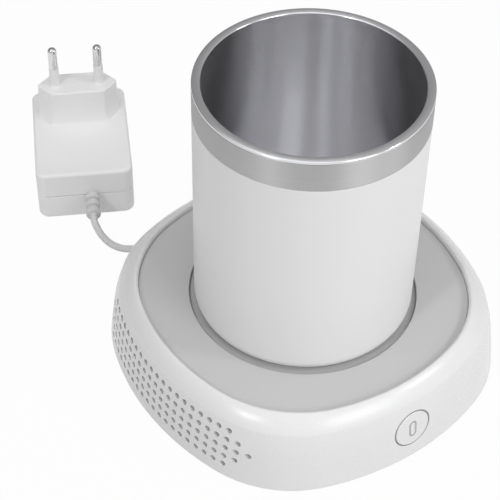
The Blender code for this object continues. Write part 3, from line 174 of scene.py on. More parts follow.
# A metal turned about the cup's axis: fine rings up the wall and across a face
def turnedMetal(name, colour, roughness, clouds, rings, depth, anisotropy):
    material, tree, shader = newFinish(name)
    place = objectPlace(tree)
    apart = addNode(tree, "SeparateXYZ", {"Vector": place}).outputs
    flat = addNode(tree, "CombineXYZ", {"X": apart["X"], "Y": apart["Y"]}).outputs["Vector"]
    reach = addNode(tree, "VectorMath", {0: flat}, operation="LENGTH").outputs["Value"]
    ringPlace = addNode(tree, "CombineXYZ", {"X": reach, "Y": apart["Z"]}).outputs["Vector"]
    ringMarks, cloud = addNoise(tree, ringPlace, rings, 4.0), addNoise(tree, place, clouds)
    tangent = addNode(tree, "Tangent", {}, direction_type="RADIAL", axis="Z").outputs["Tangent"]
    setInputs(tree, shader, {
        "Base Color": addMix(tree, ringMarks, shade(colour, 0.9), shade(colour, 1.08)),
        "Roughness": addRange(tree, cloud, roughness - 0.05, roughness + 0.05, 0.0, 1.0),
        "Metallic": 1.0,
        "Anisotropic": anisotropy,
        "Anisotropic Rotation": 0.25,
        "Tangent": tangent,
        "Normal": addBump(tree, ringMarks, depth),
    })
    return material


# A clear plastic of one tint
def clearPlastic(name, colour, roughness):
    material, tree, shader = newFinish(name)
    fine = addNoise(tree, objectPlace(tree), 900.0)
    setInputs(tree, shader, {
        "Base Color": addMix(tree, fine, shade(colour, 0.97), colour),
        "Roughness": addRange(tree, fine, roughness, roughness + 0.05),
        "Subsurface Weight": 0.3,
        "Subsurface Scale": 0.001,
    })
    return material


# A circuit board: lacquer over copper tracks
def boardLacquer(name):
    material, tree, shader = newFinish(name)
    tracks = addNode(tree, "TexBrick", {
        "Vector": objectPlace(tree),
        "Scale": 260.0,
        "Mortar Size": 0.03,
        "Color1": (0.03, 0.16, 0.08, 1.0),
        "Color2": (0.04, 0.20, 0.10, 1.0),
        "Mortar": (0.10, 0.36, 0.18, 1.0),
    }).outputs
    bump = addBump(tree, tracks["Fac"], 0.00003)
    setInputs(tree, shader, {"Base Color": tracks["Color"], "Roughness": 0.35, "Normal": bump})
    return material


# A copper winding: fine wires side by side
def woundCopper(name):
    material, tree, shader = newFinish(name)
    place = {"Vector": objectPlace(tree), "Scale": 620.0, "Distortion": 0.4}
    wires = addNode(tree, "TexWave", place, bands_direction="Z").outputs["Fac"]
    setInputs(tree, shader, {
        "Base Color": addMix(tree, wires, (0.30, 0.12, 0.05), (0.62, 0.30, 0.15)),
        "Metallic": 0.9,
        "Roughness": 0.35,
        "Normal": addBump(tree, wires, 0.00008),
    })
    return material


caseWhite = moulded("caseWhitePlastic", grey(0.80), 0.26, depth=0.000003, gloss=0.03)
cupWhite = moulded("cupWhiteCoating", grey(0.83), 0.42, grain=2000.0, depth=0.000006)
adapterWhite = moulded("adapterWhitePlastic", grey(0.93), 0.42, depth=0.000015)
trayGrey = moulded("trayGreyPlastic", grey(0.57), 0.55, grain=2200.0, depth=0.00002)
# Dark grey of the ring round the button: partly the ring's own colour, partly painted shade of the gap
gapShadeGrey = moulded("buttonGapShadeGreyPlastic", grey(0.27), 0.6)
ringGrey = moulded("wellRingGreyPlastic", grey(0.47), 0.6)
blackPlastic = moulded("blackPlastic", (0.035, 0.035, 0.038), 0.5, grain=2000.0)
footRubber = moulded("footRubber", (0.22, 0.22, 0.225), 0.85, grain=1500.0, depth=0.00004, level=0.3)
sealRubber = moulded("sealSilicone", grey(0.70), 0.65, level=0.4)
cordGrey = moulded("cordGreySheath", grey(0.72), 0.5, grain=1800.0, depth=0.00001)
reliefGrey = moulded("reliefGreySleeve", grey(0.68), 0.55, grain=1800.0)
leadRed = moulded("redLeadSheath", (0.45, 0.03, 0.02), 0.5)
leadBlack = moulded("blackLeadSheath", grey(0.03), 0.5)
foamBlack = moulded("blackFoam", grey(0.03), 0.95, grain=900.0, depth=0.00012, level=0.2)
ceramicWhite = moulded("moduleCeramic", (0.72, 0.72, 0.69), 0.55, grain=1200.0, depth=0.00002)
markClear = clearPlastic("markClearPlastic", grey(0.42), 0.3)
lightClear = clearPlastic("lightClearPlastic", (0.80, 0.84, 0.88), 0.2)
satinSteel = turnedMetal(
    "collarSatinSteel", grey(0.54), 0.48, clouds=1400.0, rings=1800.0, depth=0.000004, anisotropy=0.9
)
linerSteel = turnedMetal(
    "linerTurnedSteel", (0.84, 0.84, 0.86), 0.24, clouds=600.0, rings=2600.0, depth=0.000002, anisotropy=0.9
)
plateAluminium = turnedMetal(
    "plateTurnedAluminium", (0.50, 0.51, 0.52), 0.62, clouds=40.0, rings=1500.0, depth=0.00001, anisotropy=0.0
)
finAluminium = blasted("finAluminium", (0.62, 0.63, 0.64), 0.38)
brightSteel = blasted("screwBrightSteel", grey(0.62), 0.22, grain=1800.0, depth=0.000005)
pinChrome = blasted("pinChrome", (0.70, 0.70, 0.71), 0.10, grain=1500.0, depth=0.000002, tint=0.02)
board = boardLacquer("boardGreenLacquer")
winding = woundCopper("windingCopper")
print("finishes made")


# Shaping helpers

def dropDoubles(bm):
    bmesh.ops.remove_doubles(bm, verts=bm.verts, dist=1e-6)


# Turns a bmesh, moved to its place, into a finished piece that rides on a body
def finishPiece(name, bm, material, body, slotName, replaced=(), place=None, sharpAngle=40.0):
    if place is not None:
        bmesh.ops.transform(bm, matrix=place, verts=bm.verts)
    dropDoubles(bm)
    bmesh.ops.recalc_face_normals(bm, faces=bm.faces)
    for face in bm.faces:
        face.smooth = True
    mesh = bpy.data.meshes.new(name)
    bm.to_mesh(mesh)
    bm.free()
    mesh.set_sharp_from_angle(angle=math.radians(sharpAngle))
    mesh.materials.append(material)
    obj = bpy.data.objects.new(name, mesh)
    scene.collection.objects.link(obj)
    even = obj.modifiers.new("evenNormals", "WEIGHTED_NORMAL")
    even.keep_sharp = True
    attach(obj, body)
    if replaced:
        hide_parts(*replaced)
    return obj


# A turned piece about Z: points are (radius, height, rounding); a point on the axis has radius 0
def turnProfile(bm, points, steps):
    corners = [bm.verts.new((radius, 0.0, height)) for radius, height, _ in points]
    count = len(points)
    roundings = []
    for i, (radius, height, rounding) in enumerate(points):
        if not rounding:
            continue
        here = Vector((radius, height))
        before = Vector(points[i - 1][:2]) - here
        after = Vector(points[(i + 1) % count][:2]) - here
        half = before.angle(after) / 2
        roundings.append((corners[i], rounding / math.tan(half)))
    bm.faces.new(corners)
    for corner, reach in roundings:
        segments = max(3, min(10, round(reach / roundingStep)))
        shape = {"offset": reach, "offset_type": "OFFSET", "segments": segments, "profile": 0.5}
        bmesh.ops.bevel(bm, geom=[corner], affect="VERTICES", material=-1, **shape)
    bmesh.ops.delete(bm, geom=bm.faces[:], context="FACES_ONLY")
    onAxis = [edge for edge in bm.edges if all(abs(vert.co.x) < 1e-7 for vert in edge.verts)]
    bmesh.ops.delete(bm, geom=onAxis, context="EDGES")
    outline = bm.verts[:] + bm.edges[:]
    whole = {"angle": 2 * math.pi, "steps": steps, "use_merge": True}
    bmesh.ops.spin(bm, geom=outline, cent=(0, 0, 0), axis=(0, 0, 1), dvec=(0, 0, 0), **whole)
    dropDoubles(bm)


def turned(name, points, material, body, slotName, replaced=(), steps=turnSteps, place=None):
    bm = bmesh.new()
    turnProfile(bm, points, steps)
    return finishPiece(name, bm, material, body, slotName, replaced, place)


def loopEdges(bm, loop):
    return [bm.edges.get((loop[i - 1], loop[i])) for i in range(len(loop))]


# Skins from ring to ring. Each ring is a list of points; gives the loops of vertices back
def loftRings(bm, rings, closed=False):
    loop = bmesh.ops.create_circle(bm, cap_ends=False, segments=len(rings[0]), radius=1.0)["verts"]
    for vert, point in zip(loop, rings[0]):
        vert.co = point
    loops = [loop]
    edges = loopEdges(bm, loop)
    for ring in rings[1:]:
        grown = bmesh.ops.extrude_edge_only(bm, edges=edges)["geom"]
        fresh = {item for item in grown if isinstance(item, bmesh.types.BMVert)}
        following = []
        for vert, point in zip(loop, ring):
            for edge in vert.link_edges:
                other = edge.other_vert(vert)
                if other in fresh:
                    other.co = point
                    following.append(other)
                    break
        loop = following
        loops.append(loop)
        edges = loopEdges(bm, loop)
    if closed:
        bmesh.ops.bridge_loops(bm, edges=loopEdges(bm, loops[0]) + edges)
    return loops


# An outline through these corners, each rounded with an arc, counterclockwise
def roundedOutline(corners, rounding, steps):
    points = []
    for i, here in enumerate(map(Vector, corners)):
        before = (Vector(corners[i - 1]) - here).normalized()
        after = (Vector(corners[(i + 1) % len(corners)]) - here).normalized()
        half = before.angle(after) / 2
        centre = here + (before + after).normalized() * (rounding / math.sin(half))
        first = here + before * (rounding / math.tan(half)) - centre
        for step in range(steps + 1):
            turn = Matrix.Rotation((math.pi - 2 * half) * step / steps, 2)
            points.append(tuple(centre + turn @ first))
    return points


def raised(outline, height):
    return [(x, y, height) for x, y in outline]


# A tube along a path; section is a list of (bearing in degrees, radius)
def sweepTube(bm, path, section):
    path = np.array(path, float)
    ahead = np.gradient(path, axis=0)
    ahead /= np.linalg.norm(ahead, axis=1)[:, None]
    side = np.cross(ahead[0], (0, 0, 1.0))
    side /= np.linalg.norm(side)
    rings = []
    for i, point in enumerate(path):
        side = side - ahead[i] * np.dot(side, ahead[i])
        side /= np.linalg.norm(side)
        up = np.cross(side, ahead[i])
        ring = []
        for bearing, radius in section:
            turn = math.radians(bearing)
            ring.append(tuple(point + radius * (side * math.cos(turn) + up * math.sin(turn))))
        rings.append(ring)
    loops = loftRings(bm, rings)
    bm.faces.new(loops[0])
    bm.faces.new(loops[-1])


# Cord: the model's own route, drawn finer, with two shallow grooves along it

cord = {
    "radius": 0.0015,
    "exit": (0.024, 0.09197, 0.013),
    "intoGrip": 0.006,
    "intoAdapter": 0.010,
    "coilLead": 0.0015,  # straight on at each end of the coil
    "groove": 0.00022,  # depth
    "grooveWidth": 15.0,  # degrees
    "sides": 28,
    "spacing": 0.0013,  # between the rings of the tube
    "fromPlug": [
        (0.0242, 0.0965, 0.0127),
        (0.0253, 0.1020, 0.0112),
        (0.0292, 0.1090, 0.0078),
        (0.0360, 0.1148, 0.0042),
        (0.0450, 0.1180, 0.0021),
    ],
    "toAdapter": [
        (0.0480, 0.0757, 0.0098),
        (0.0390, 0.0765, 0.0058),
        (0.0290, 0.0771, 0.0026),
        (0.0180, 0.0774, 0.0016),
        (0.0050, 0.0774, 0.0016),
        (-0.0080, 0.0770, 0.0016),
        (-0.0180, 0.0769, 0.0016),
        (-0.0245, 0.0778, 0.0016),
        (-0.0292, 0.0797, 0.0016),
        (-0.0330, 0.0822, 0.0019),
        (-0.0364, 0.0856, 0.0037),
        (-0.0385, 0.0893, 0.0070),
        (-0.0390, 0.0925, 0.0100),
    ],
}
coil = {
    "middle": (0.0640, 0.0970),
    "inner": 0.0128,
    "pitch": 0.0035,
    "layers": 4,
    "layerTurns": 2.375,
    "loopPoints": 24,
    "start": 90.0,  # degrees
    "climb": 0.25,  # of a turn, on each side of a change of layer
}


def easeIn(share):
    return share * share * (3 - 2 * share)


# Piled loops: the layers wind in and out by turns, and climb in the half turn between
def coilPoints():
    turns = coil["layers"] * coil["layerTurns"]
    count = round(turns * coil["loopPoints"])
    outer = coil["inner"] + coil["pitch"] * coil["layerTurns"]
    climb = coil["climb"]
    points = []
    for i in range(count + 1):
        turn = turns * i / count
        layer, within = divmod(turn, coil["layerTurns"])
        if layer >= coil["layers"]:
            layer, within = coil["layers"] - 1, coil["layerTurns"]
        inward = int(layer) % 2 == 0
        radius = outer - coil["pitch"] * within if inward else coil["inner"] + coil["pitch"] * within
        height = layer
        if within > coil["layerTurns"] - climb and layer < coil["layers"] - 1:
            height += easeIn((within - coil["layerTurns"] + climb) / (2 * climb))
        if within < climb and layer > 0:
            height += easeIn((within + climb) / (2 * climb)) - 1
        angle = math.radians(coil["start"]) - 2 * math.pi * turn
        x = coil["middle"][0] + radius * math.cos(angle)
        y = coil["middle"][1] + radius * math.sin(angle)
        points.append((x, y, cord["radius"] + height * coil["pitch"]))
    straight = np.array([2 * cord["radius"], 0, 0])
    return [np.array(points[0]) - straight, *points, np.array(points[-1]) - straight]


def blend(first, second, start, end, at):
    return (end - at) / (end - start) * first + (at - start) / (end - start) * second


# A centripetal curve through the points, read at an even spacing
def smoothRoute(route, spacing, steps=12):
    knots = np.array([tuple(point) for point in route], float)
    knots = np.vstack([2 * knots[0] - knots[1], knots, 2 * knots[-1] - knots[-2]])
    fine = []
    for i in range(1, len(knots) - 2):
        p0, p1, p2, p3 = knots[i - 1:i + 3]
        times = [0.0]
        for here, onward in ((p0, p1), (p1, p2), (p2, p3)):
            times.append(times[-1] + np.linalg.norm(onward - here) ** 0.5)
        t0, t1, t2, t3 = times
        for at in np.linspace(t1, t2, steps, endpoint=False):
            middle = blend(p1, p2, t1, t2, at)
            before = blend(blend(p0, p1, t0, t1, at), middle, t0, t2, at)
            after = blend(middle, blend(p2, p3, t2, t3, at), t1, t3, at)
            fine.append(blend(before, after, t1, t2, at))
    fine.append(knots[-2])
    fine = np.array(fine)
    along = np.concatenate([[0.0], np.cumsum(np.linalg.norm(np.diff(fine, axis=0), axis=1))])
    count = max(3, round(along[-1] / spacing) + 1)
    stations = np.linspace(0.0, along[-1], count)
    return np.column_stack([np.interp(stations, along, fine[:, axis]) for axis in range(3)])


# Adapter's place: on its back behind the base, with the cord's end towards the coil

adapter = {
    "width": 0.0410,
    "length": 0.0570,
    "depth": 0.0240,
    "corner": 0.0045,
    "edge": 0.0014,
    "wall": 0.0018,
    "seam": 0.0003,
    "turn": 62.5,  # degrees, from the cord end to the far end
    "reliefRoot": (-0.0315, 0.1085),
    "reliefOffset": 0.0025,
    "reliefLength": 0.0130,
    "reliefInside": 0.0015,  # how far it reaches into the shells
    "reliefRadius": 0.0031,
    "reliefNeck": 0.0019,
    "reliefRibs": 3,
    "reliefRibShare": 0.66,
    "reliefRounds": (0.0006, 0.0005),  # of a rib's two edges
    "blockWidth": 0.0350,
    "blockHeight": 0.0140,
    "blockTip": 0.0062,
    "blockRise": 0.0160,
    "blockFlare": 0.0012,
    "blockFlareRise": 0.0090,
    "blockFromEnd": 0.0155,
    "blockRound": 0.0016,
    "blockEdge": 0.0008,
    "pinSpacing": 0.0190,
    "pinRadius": 0.0020,
    "pinWaist": 0.0019,
    "pinTip": 0.0017,
    "pinHeights": (0.0485, 0.0493, 0.0593),
    "sleeveRadius": 0.0021,
    "sleeveFoot": 0.0024,
    "sleeveHeights": (0.0385, 0.0403, 0.0490),
}
adapterAngle = math.radians(adapter["turn"])
adapterToward = np.array([math.cos(adapterAngle), math.sin(adapterAngle), 0.0])
adapterSide = np.array([math.sin(adapterAngle), -math.cos(adapterAngle), 0.0])
adapterRise = np.array([0, 0, adapter["depth"] / 2])
reliefRoot = np.array([*adapter["reliefRoot"], 0]) + adapterRise
adapterOrigin = reliefRoot - adapterRise - adapterSide * adapter["reliefOffset"]
adapterPlace = Matrix.Translation(adapterOrigin) @ Matrix.Rotation(adapterAngle - math.pi / 2, 4, "Z")


def makeCord():
    reliefEnd = reliefRoot - adapterToward * adapter["reliefLength"]
    start = np.array(cord["exit"])
    route = [start - np.array([0, cord["intoGrip"], 0]), start, *cord["fromPlug"]]
    loops = coilPoints()
    lead = np.array([cord["coilLead"], 0, 0])
    route += [loops[0] - lead, *loops, loops[-1] - lead]
    route += [*cord["toAdapter"], reliefEnd - adapterToward * 2 * cord["radius"]]
    inwards = adapterToward * cord["intoAdapter"]
    route += [reliefEnd, reliefEnd + inwards, reliefRoot + inwards]
    path = smoothRoute(route, cord["spacing"])
    section = []
    for i in range(cord["sides"]):
        bearing = 360.0 * i / cord["sides"]
        away = min(abs((bearing - groove + 180) % 360 - 180) for groove in (90, 270))
        dent = cord["groove"] * math.exp(-((away / cord["grooveWidth"]) ** 2))
        section.append((bearing, cord["radius"] - dent))
    bm = bmesh.new()
    sweepTube(bm, path, section)
    piece = finishPiece(
        "powerCord", bm, cordGrey, "lead", "cord_grey",
        replaced=("cord_from_plug", "cord_coil", "cord_to_adapter"), sharpAngle=60.0,
    )
    length = float(np.linalg.norm(np.diff(path, axis=0), axis=1).sum())
    print(f"cord made, {length:.3f} m")
    return piece, path


cordPiece, cordPath = makeCord()


# Plug: barrel and grip, turned about Y at the socket

plug = {
    "x": 0.024,
    "z": 0.013,
    "front": 0.06967,
    "barrel": 0.00275,
    "bore": 0.0013,
    "barrelIn": 0.0095,
    "barrelRoot": 0.0040,
    "grip": 0.0045,
    "gripEdge": 0.0005,
    "gripRound": 0.0012,
    "gripLength": 0.0130,
    "taper": 0.0090,
    "tail": 0.0023,
    "tailRoot": 0.0029,
    "tailStep": 0.0016,
    "tailRound": 0.0008,
    "rings": 5,  # grooves round the grip
    "firstRing": 0.0030,
    "ringPitch": 0.0016,
    "ringFloor": 0.0005,
}


def makePlug():
    place = Matrix.Translation((plug["x"], plug["front"], plug["z"])) @ quarterTurn.inverted()
    grip, tail = plug["grip"], plug["tail"]
    points = [(0, 0, 0), (grip, 0, plug["gripEdge"])]
    for number in range(plug["rings"]):
        low = plug["firstRing"] + number * plug["ringPitch"]
        high = low + 2 * softEdge + plug["ringFloor"]
        points += [(grip, low, 0), (grip - softEdge, low + softEdge, 0)]
        points += [(grip - softEdge, high - softEdge, 0), (grip, high, 0)]
    end = plug["gripLength"]
    points.append((grip, end, plug["gripRound"]))
    points.append((plug["tailRoot"], end + plug["tailStep"], plug["tailRound"]))
    points += [(tail, end + plug["taper"], fineEdge), (0, end + plug["taper"], 0)]
    finish = (blackPlastic, "lead", "black_plastic")
    body = turned("plugGrip", points, *finish, ("dc_plug_grip",), fineSteps, place)
    inside, bore = -plug["barrelIn"], plug["bore"]
    points = [
        (bore, inside, sharpEdge),
        (plug["barrel"], inside, softEdge),
        (plug["barrel"], plug["barrelRoot"], 0),
        (bore, plug["barrelRoot"], 0),
    ]
    finish = (pinChrome, "lead", "bright_steel")
    barrel = turned("plugBarrel", points, *finish, ("dc_plug_barrel",), fineSteps, place)
    return [body, barrel]


plugPieces = makePlug()
print("plug made")


# Adapter: two shells, plug block, pins and strain relief, built along its own axes

# Outline of the shells, which start at the cord's end and lie along +Y
def shellOutline(inset, corner):
    side, low, high = adapter["width"] / 2 - inset, inset, adapter["length"] - inset
    return roundedOutline([(side, low), (side, high), (-side, high), (-side, low)], corner, 8)


# Outline of the plug block, a flat hexagon
def blockOutline(middle, spread, rounding):
    tip = (adapter["blockWidth"] + spread) / 2
    flat = tip - adapter["blockTip"]
    up = (adapter["blockHeight"] + spread) / 2
    half = [(tip, 0), (flat, up), (-flat, up)]
    corners = [(x, middle + y) for x, y in half] + [(-x, middle - y) for x, y in half]
    return roundedOutline(corners, rounding, 4)


# Outside of one shell from its seam to its soft edge, and the hollow behind it
def shellLoft(bm, seam, face):
    corner, wall, edge = adapter["corner"], adapter["wall"], adapter["edge"]
    sign = 1 if face > seam else -1
    hollow = shellOutline(wall, corner - wall)
    rings = [raised(hollow, face - sign * wall), raised(hollow, seam)]
    rings.append(raised(shellOutline(fineEdge, corner - fineEdge), seam))
    rings.append(raised(shellOutline(0.0, corner), seam + sign * fineEdge))
    for turn in np.linspace(0, math.pi / 2, 7):
        inset = edge * (1 - math.cos(turn))
        height = face - sign * edge * (1 - math.sin(turn))
        rings.append(raised(shellOutline(inset, corner - inset), height))
    loops = loftRings(bm, rings)
    bm.faces.new(loops[0])
    return loops[-1]


# Plug block: its root flares out of the face, and its end has a soft edge
def blockLoft(bm, middle):
    depth, edge, rounding = adapter["depth"], adapter["blockEdge"], adapter["blockRound"]
    rings = []
    for share in np.linspace(0, 1, 9):
        outline = blockOutline(middle, 2 * adapter["blockFlare"] * (1 - share) ** 2, rounding)
        rings.append(raised(outline, depth + adapter["blockFlareRise"] * share**1.5))
    for turn in np.linspace(0, math.pi / 2, 6):
        inset = 2 * edge * (1 - math.cos(turn))
        height = depth + adapter["blockRise"] - edge * (1 - math.sin(turn))
        rings.append(raised(blockOutline(middle, -inset, rounding - inset / 2), height))
    loops = loftRings(bm, rings)
    bm.faces.new(loops[-1])
    return loops[0]


def reliefProfile():
    radius, neck, outside = adapter["reliefRadius"], adapter["reliefNeck"], adapter["reliefLength"]
    pitch = outside / adapter["reliefRibs"]
    points = [(0, outside, 0)]
    for number in range(adapter["reliefRibs"]):
        high = outside - number * pitch
        low = high - pitch * adapter["reliefRibShare"]
        points += [(radius, high, adapter["reliefRounds"][0]), (radius, low, adapter["reliefRounds"][1])]
        points += [(neck, low, fineEdge), (neck, high - pitch, fineEdge)]
    return points + [(neck, -adapter["reliefInside"], 0), (0, -adapter["reliefInside"], 0)]


def makeAdapter():
    middle, seam = adapter["depth"] / 2, adapter["seam"] / 2
    blockMiddle = adapter["length"] - adapter["blockFromEnd"]
    finish = (adapterWhite, "lead", "adapter_white")

    bm = bmesh.new()
    bm.faces.new(shellLoft(bm, middle - seam, 0.0))
    pieces = [finishPiece("adapterBackShell", bm, *finish, ("adapter_back_shell",), adapterPlace)]
    bm = bmesh.new()
    rims = [shellLoft(bm, middle + seam, adapter["depth"]), blockLoft(bm, blockMiddle)]
    edges = [edge for rim in rims for edge in loopEdges(bm, rim)]
    bmesh.ops.triangle_fill(bm, use_beauty=True, edges=edges)
    pieces.append(finishPiece("adapterFrontShell", bm, *finish, ("adapter_front_shell",), adapterPlace))

    radius, foot = adapter["sleeveRadius"], adapter["sleeveFoot"]
    low, footTop, top = adapter["sleeveHeights"]
    sleeve = [(0, low, 0), (foot, low, 0), (foot, footTop, softEdge), (radius, footTop + softEdge, softEdge)]
    sleeve += [(radius, top, fineEdge), (0, top, 0)]
    radius, waist = adapter["pinRadius"], adapter["pinWaist"]
    low, shoulder, top = adapter["pinHeights"]
    metal = [(0, low, 0), (waist, low, 0), (radius, shoulder, sharpEdge), (radius, top, adapter["pinTip"])]
    metal.append((0, top, 0))
    chrome = (pinChrome, "lead", "pin_chrome")
    for number, side in enumerate((-1, 1), 1):
        place = adapterPlace @ Matrix.Translation((side * adapter["pinSpacing"] / 2, blockMiddle, 0))
        pieces.append(turned(f"pinSleeve{number}", sleeve, *finish, (), fineSteps, place))
        node = f"adapter_pin_{number}"
        pieces.append(turned(f"plugPin{number}", metal, *chrome, (node,), fineSteps, place))

    place = adapterPlace @ Matrix.Translation((adapter["reliefOffset"], 0, middle)) @ quarterTurn
    rubber = (reliefGrey, "lead", "cord_grey")
    node = "adapter_strain_relief"
    pieces.append(turned("strainRelief", reliefProfile(), *rubber, (node,), fineSteps, place))
    return pieces


adapterPieces = makeAdapter()
print("adapter made")


# Base case: rings of the rounded square, from the ledge over the lip and shoulder down to the foot,
# and back up inside

case = {
    "low": 0.0010,
    "wall": 0.0020,
    "thinWall": 0.0014,  # at the foot, round the bottom cover
    "thinTop": 0.0034,  # height up to which it stays thin
    "profile": [  # height and side of the wall, from the foot to the crease under the shoulder
        (0.0015, 0.07120),
        (0.0075, 0.07065),
        (0.0125, 0.07015),
        (0.0175, 0.06955),
        (0.0220, 0.06885),
        (0.0250, 0.06815),
        (0.0276, 0.06740),
    ],
    "arcSide": 0.0719,  # reach at which the sides have the foot's arc
    "footRound": 0.0005,
    "footArc": 0.110,
    "lipArc": 0.087,
    "corner": 0.047,
    "lipSide": 0.0609,
    "lipRound": 0.0012,
    "lipTop": 0.0330,
    "ledgeTop": 0.0282,
    "ledgeWidth": 0.0034,
    "shoulderPower": 1.54,
    "shoulderEnd": 78.0,  # degrees, where the crease cuts it off
    "shoulderWall": 0.0016,
    "sideTurns": (2.475, 4.95, 9.9, 13.0, 16.0, 19.5),  # bearings off a side's middle, in degrees
    "cornerTurns": [22.0 + 2.3 * step for step in range(21)],
    "ventSide": 138,  # degrees, from where the vent columns set the bearings
}
vents = {
    "radius": 0.00112,
    "radiusBehind": 0.00145,
    "columnPitch": 0.00403,
    "rowPitch": 0.00424,
    "middle": 0.0157,
    "columns": 24,
    "rows": 5,
    "edge": 0.00015,
    "frame": 0.0005,  # inset of each cell round its vent
}
rows, columns = vents["rows"], vents["columns"]
wallLevels = [vents["middle"] + (rows / 2 - row) * vents["rowPitch"] for row in range(rows + 1)]
wallLevels.append(case["profile"][0][0])
ventStations = [(column - columns / 2) * vents["columnPitch"] for column in range(columns + 1)]
button = {
    "wall": -1,  # the one towards −Y
    "x": 0.0,
    "z": 0.0153,
    "hole": 0.0081,  # radius
    "steps": 64,
    "bearings": (-94.95, -85.05),  # degrees, of the wall cells that the hole takes
    "rows": range(rows),  # of the same cells
    "radius": 0.0076,
    "edge": 0.0004,
    "flange": 0.0090,
    "flangeBehind": 0.0022,  # behind the wall's outer face
    "flangeThick": 0.0010,
    "stem": 0.0018,
    "stemEnd": 0.0663,
    "gapRingWidth": 0.0004,
    "gapRingBehind": 0.00015,  # behind the cap's face
    "markWidth": 0.0034,
    "markHeight": 0.0075,
    "markStroke": 0.0008,
    "markProud": 0.00003,
    "markDeep": 0.0005,
}
socket = {
    "wall": 1,
    "x": plug["x"],
    "z": plug["z"],
    "hole": 0.0043,
    "steps": 48,
    "bearings": (74.0, 80.1),
    "rows": range(2, rows),  # the top one is 0
}


# The outline is a wide arc along each side and a tighter one round each corner. Gives the two radii,
# the centre of the corner's arc on both axes, and the bearing where the two meet
def outlineArcs(side, inset):
    share = (side + inset - case["lipSide"]) / (case["arcSide"] - case["lipSide"])
    share = min(max(share, 0.0), 1.0)
    sideArc = case["lipArc"] + (case["footArc"] - case["lipArc"]) * share - inset
    corner = case["corner"] - inset
    reach, step = side - sideArc, sideArc - corner
    centre = (2 * reach + math.sqrt(8 * step * step - 4 * reach * reach)) / 4
    return sideArc, corner, centre, math.atan2(centre, centre - reach)


# The outline's point where its outward normal has this bearing, in degrees
def outlinePoint(side, inset, bearing):
    sideArc, corner, centre, change = outlineArcs(side, inset)
    quarter = round(bearing / 90)
    local = math.radians(bearing - 90 * quarter)
    turn = abs(local)
    if turn <= change:
        x, y = side - sideArc + sideArc * math.cos(turn), sideArc * math.sin(turn)
    else:
        x, y = centre + corner * math.cos(turn), centre + corner * math.sin(turn)
    y = math.copysign(y, local)
    cos, sin = round(math.cos(quarter * math.pi / 2)), round(math.sin(quarter * math.pi / 2))
    return x * cos - y * sin, x * sin + y * cos


# How far out a side's wall is at this distance across from its middle
def wallReach(side, inset, across):
    sideArc, corner, centre, change = outlineArcs(side, inset)
    across = abs(across)
    if across <= sideArc * math.sin(change):
        return side - sideArc + math.sqrt(sideArc**2 - across**2)
    return centre + math.sqrt(corner**2 - (across - centre) ** 2)


def ventBearings(side, inset):
    sideArc, corner, centre, change = outlineArcs(side, inset)
    bearings = []
    for across in ventStations:
        if abs(across) <= sideArc * math.sin(change):
            turn = math.degrees(math.asin(abs(across) / sideArc))
        else:
            turn = math.degrees(math.asin((abs(across) - centre) / corner))
        bearings.append(180 + math.copysign(turn, across))
    return bearings


def wallSide(height):
    heights, sides = zip(*case["profile"])
    return float(np.interp(height, heights, sides))


# Bearings of the ring's points, but for those in the wall with the vents
def listBearings():
    around = {0.0}
    for turn in case["sideTurns"]:
        around |= {turn, -turn}
    bearings = {90 * quarter + turn for quarter in (-1, 0, 1) for turn in around}
    for turn in case["cornerTurns"]:
        bearings |= {turn, -turn}
        if 90 + turn < case["ventSide"]:
            bearings |= {90 + turn, -90 - turn}
    return sorted({round(bearing, 4) for bearing in bearings})


openBearings = listBearings()


# A ring of the case: fixed bearings on three sides, vent columns on the fourth
def caseRing(side, height, inset=0.0, level=None):
    vented = ventBearings(side, inset) if level is None else ventBearings(wallSide(level), 0.0)
    return [(*outlinePoint(side, inset, bearing), height) for bearing in openBearings + vented]


def quarterArc(x, z, across, up, start, end, steps):
    points = []
    for step in range(steps + 1):
        turn = math.radians(start + (end - start) * step / steps)
        points.append((x + across * math.sin(turn), z + up * math.cos(turn)))
    return points


# The shoulder from the lip's top (share 0) to the crease (share 1), or a skin inside it
def shoulderPoint(share, inwards=0.0, downwards=0.0):
    start, power = case["lipSide"] + case["lipRound"], case["shoulderPower"]
    end = math.radians(case["shoulderEnd"])
    creaseRise, creaseSide = case["profile"][-1]
    across = (creaseSide - start) / math.sin(end) ** power
    up = (case["lipTop"] - creaseRise) / (1 - math.cos(end) ** power)
    turn = end * share
    x = start + (across - inwards) * math.sin(turn) ** power
    return x, case["lipTop"] - up + (up - downwards) * math.cos(turn) ** power


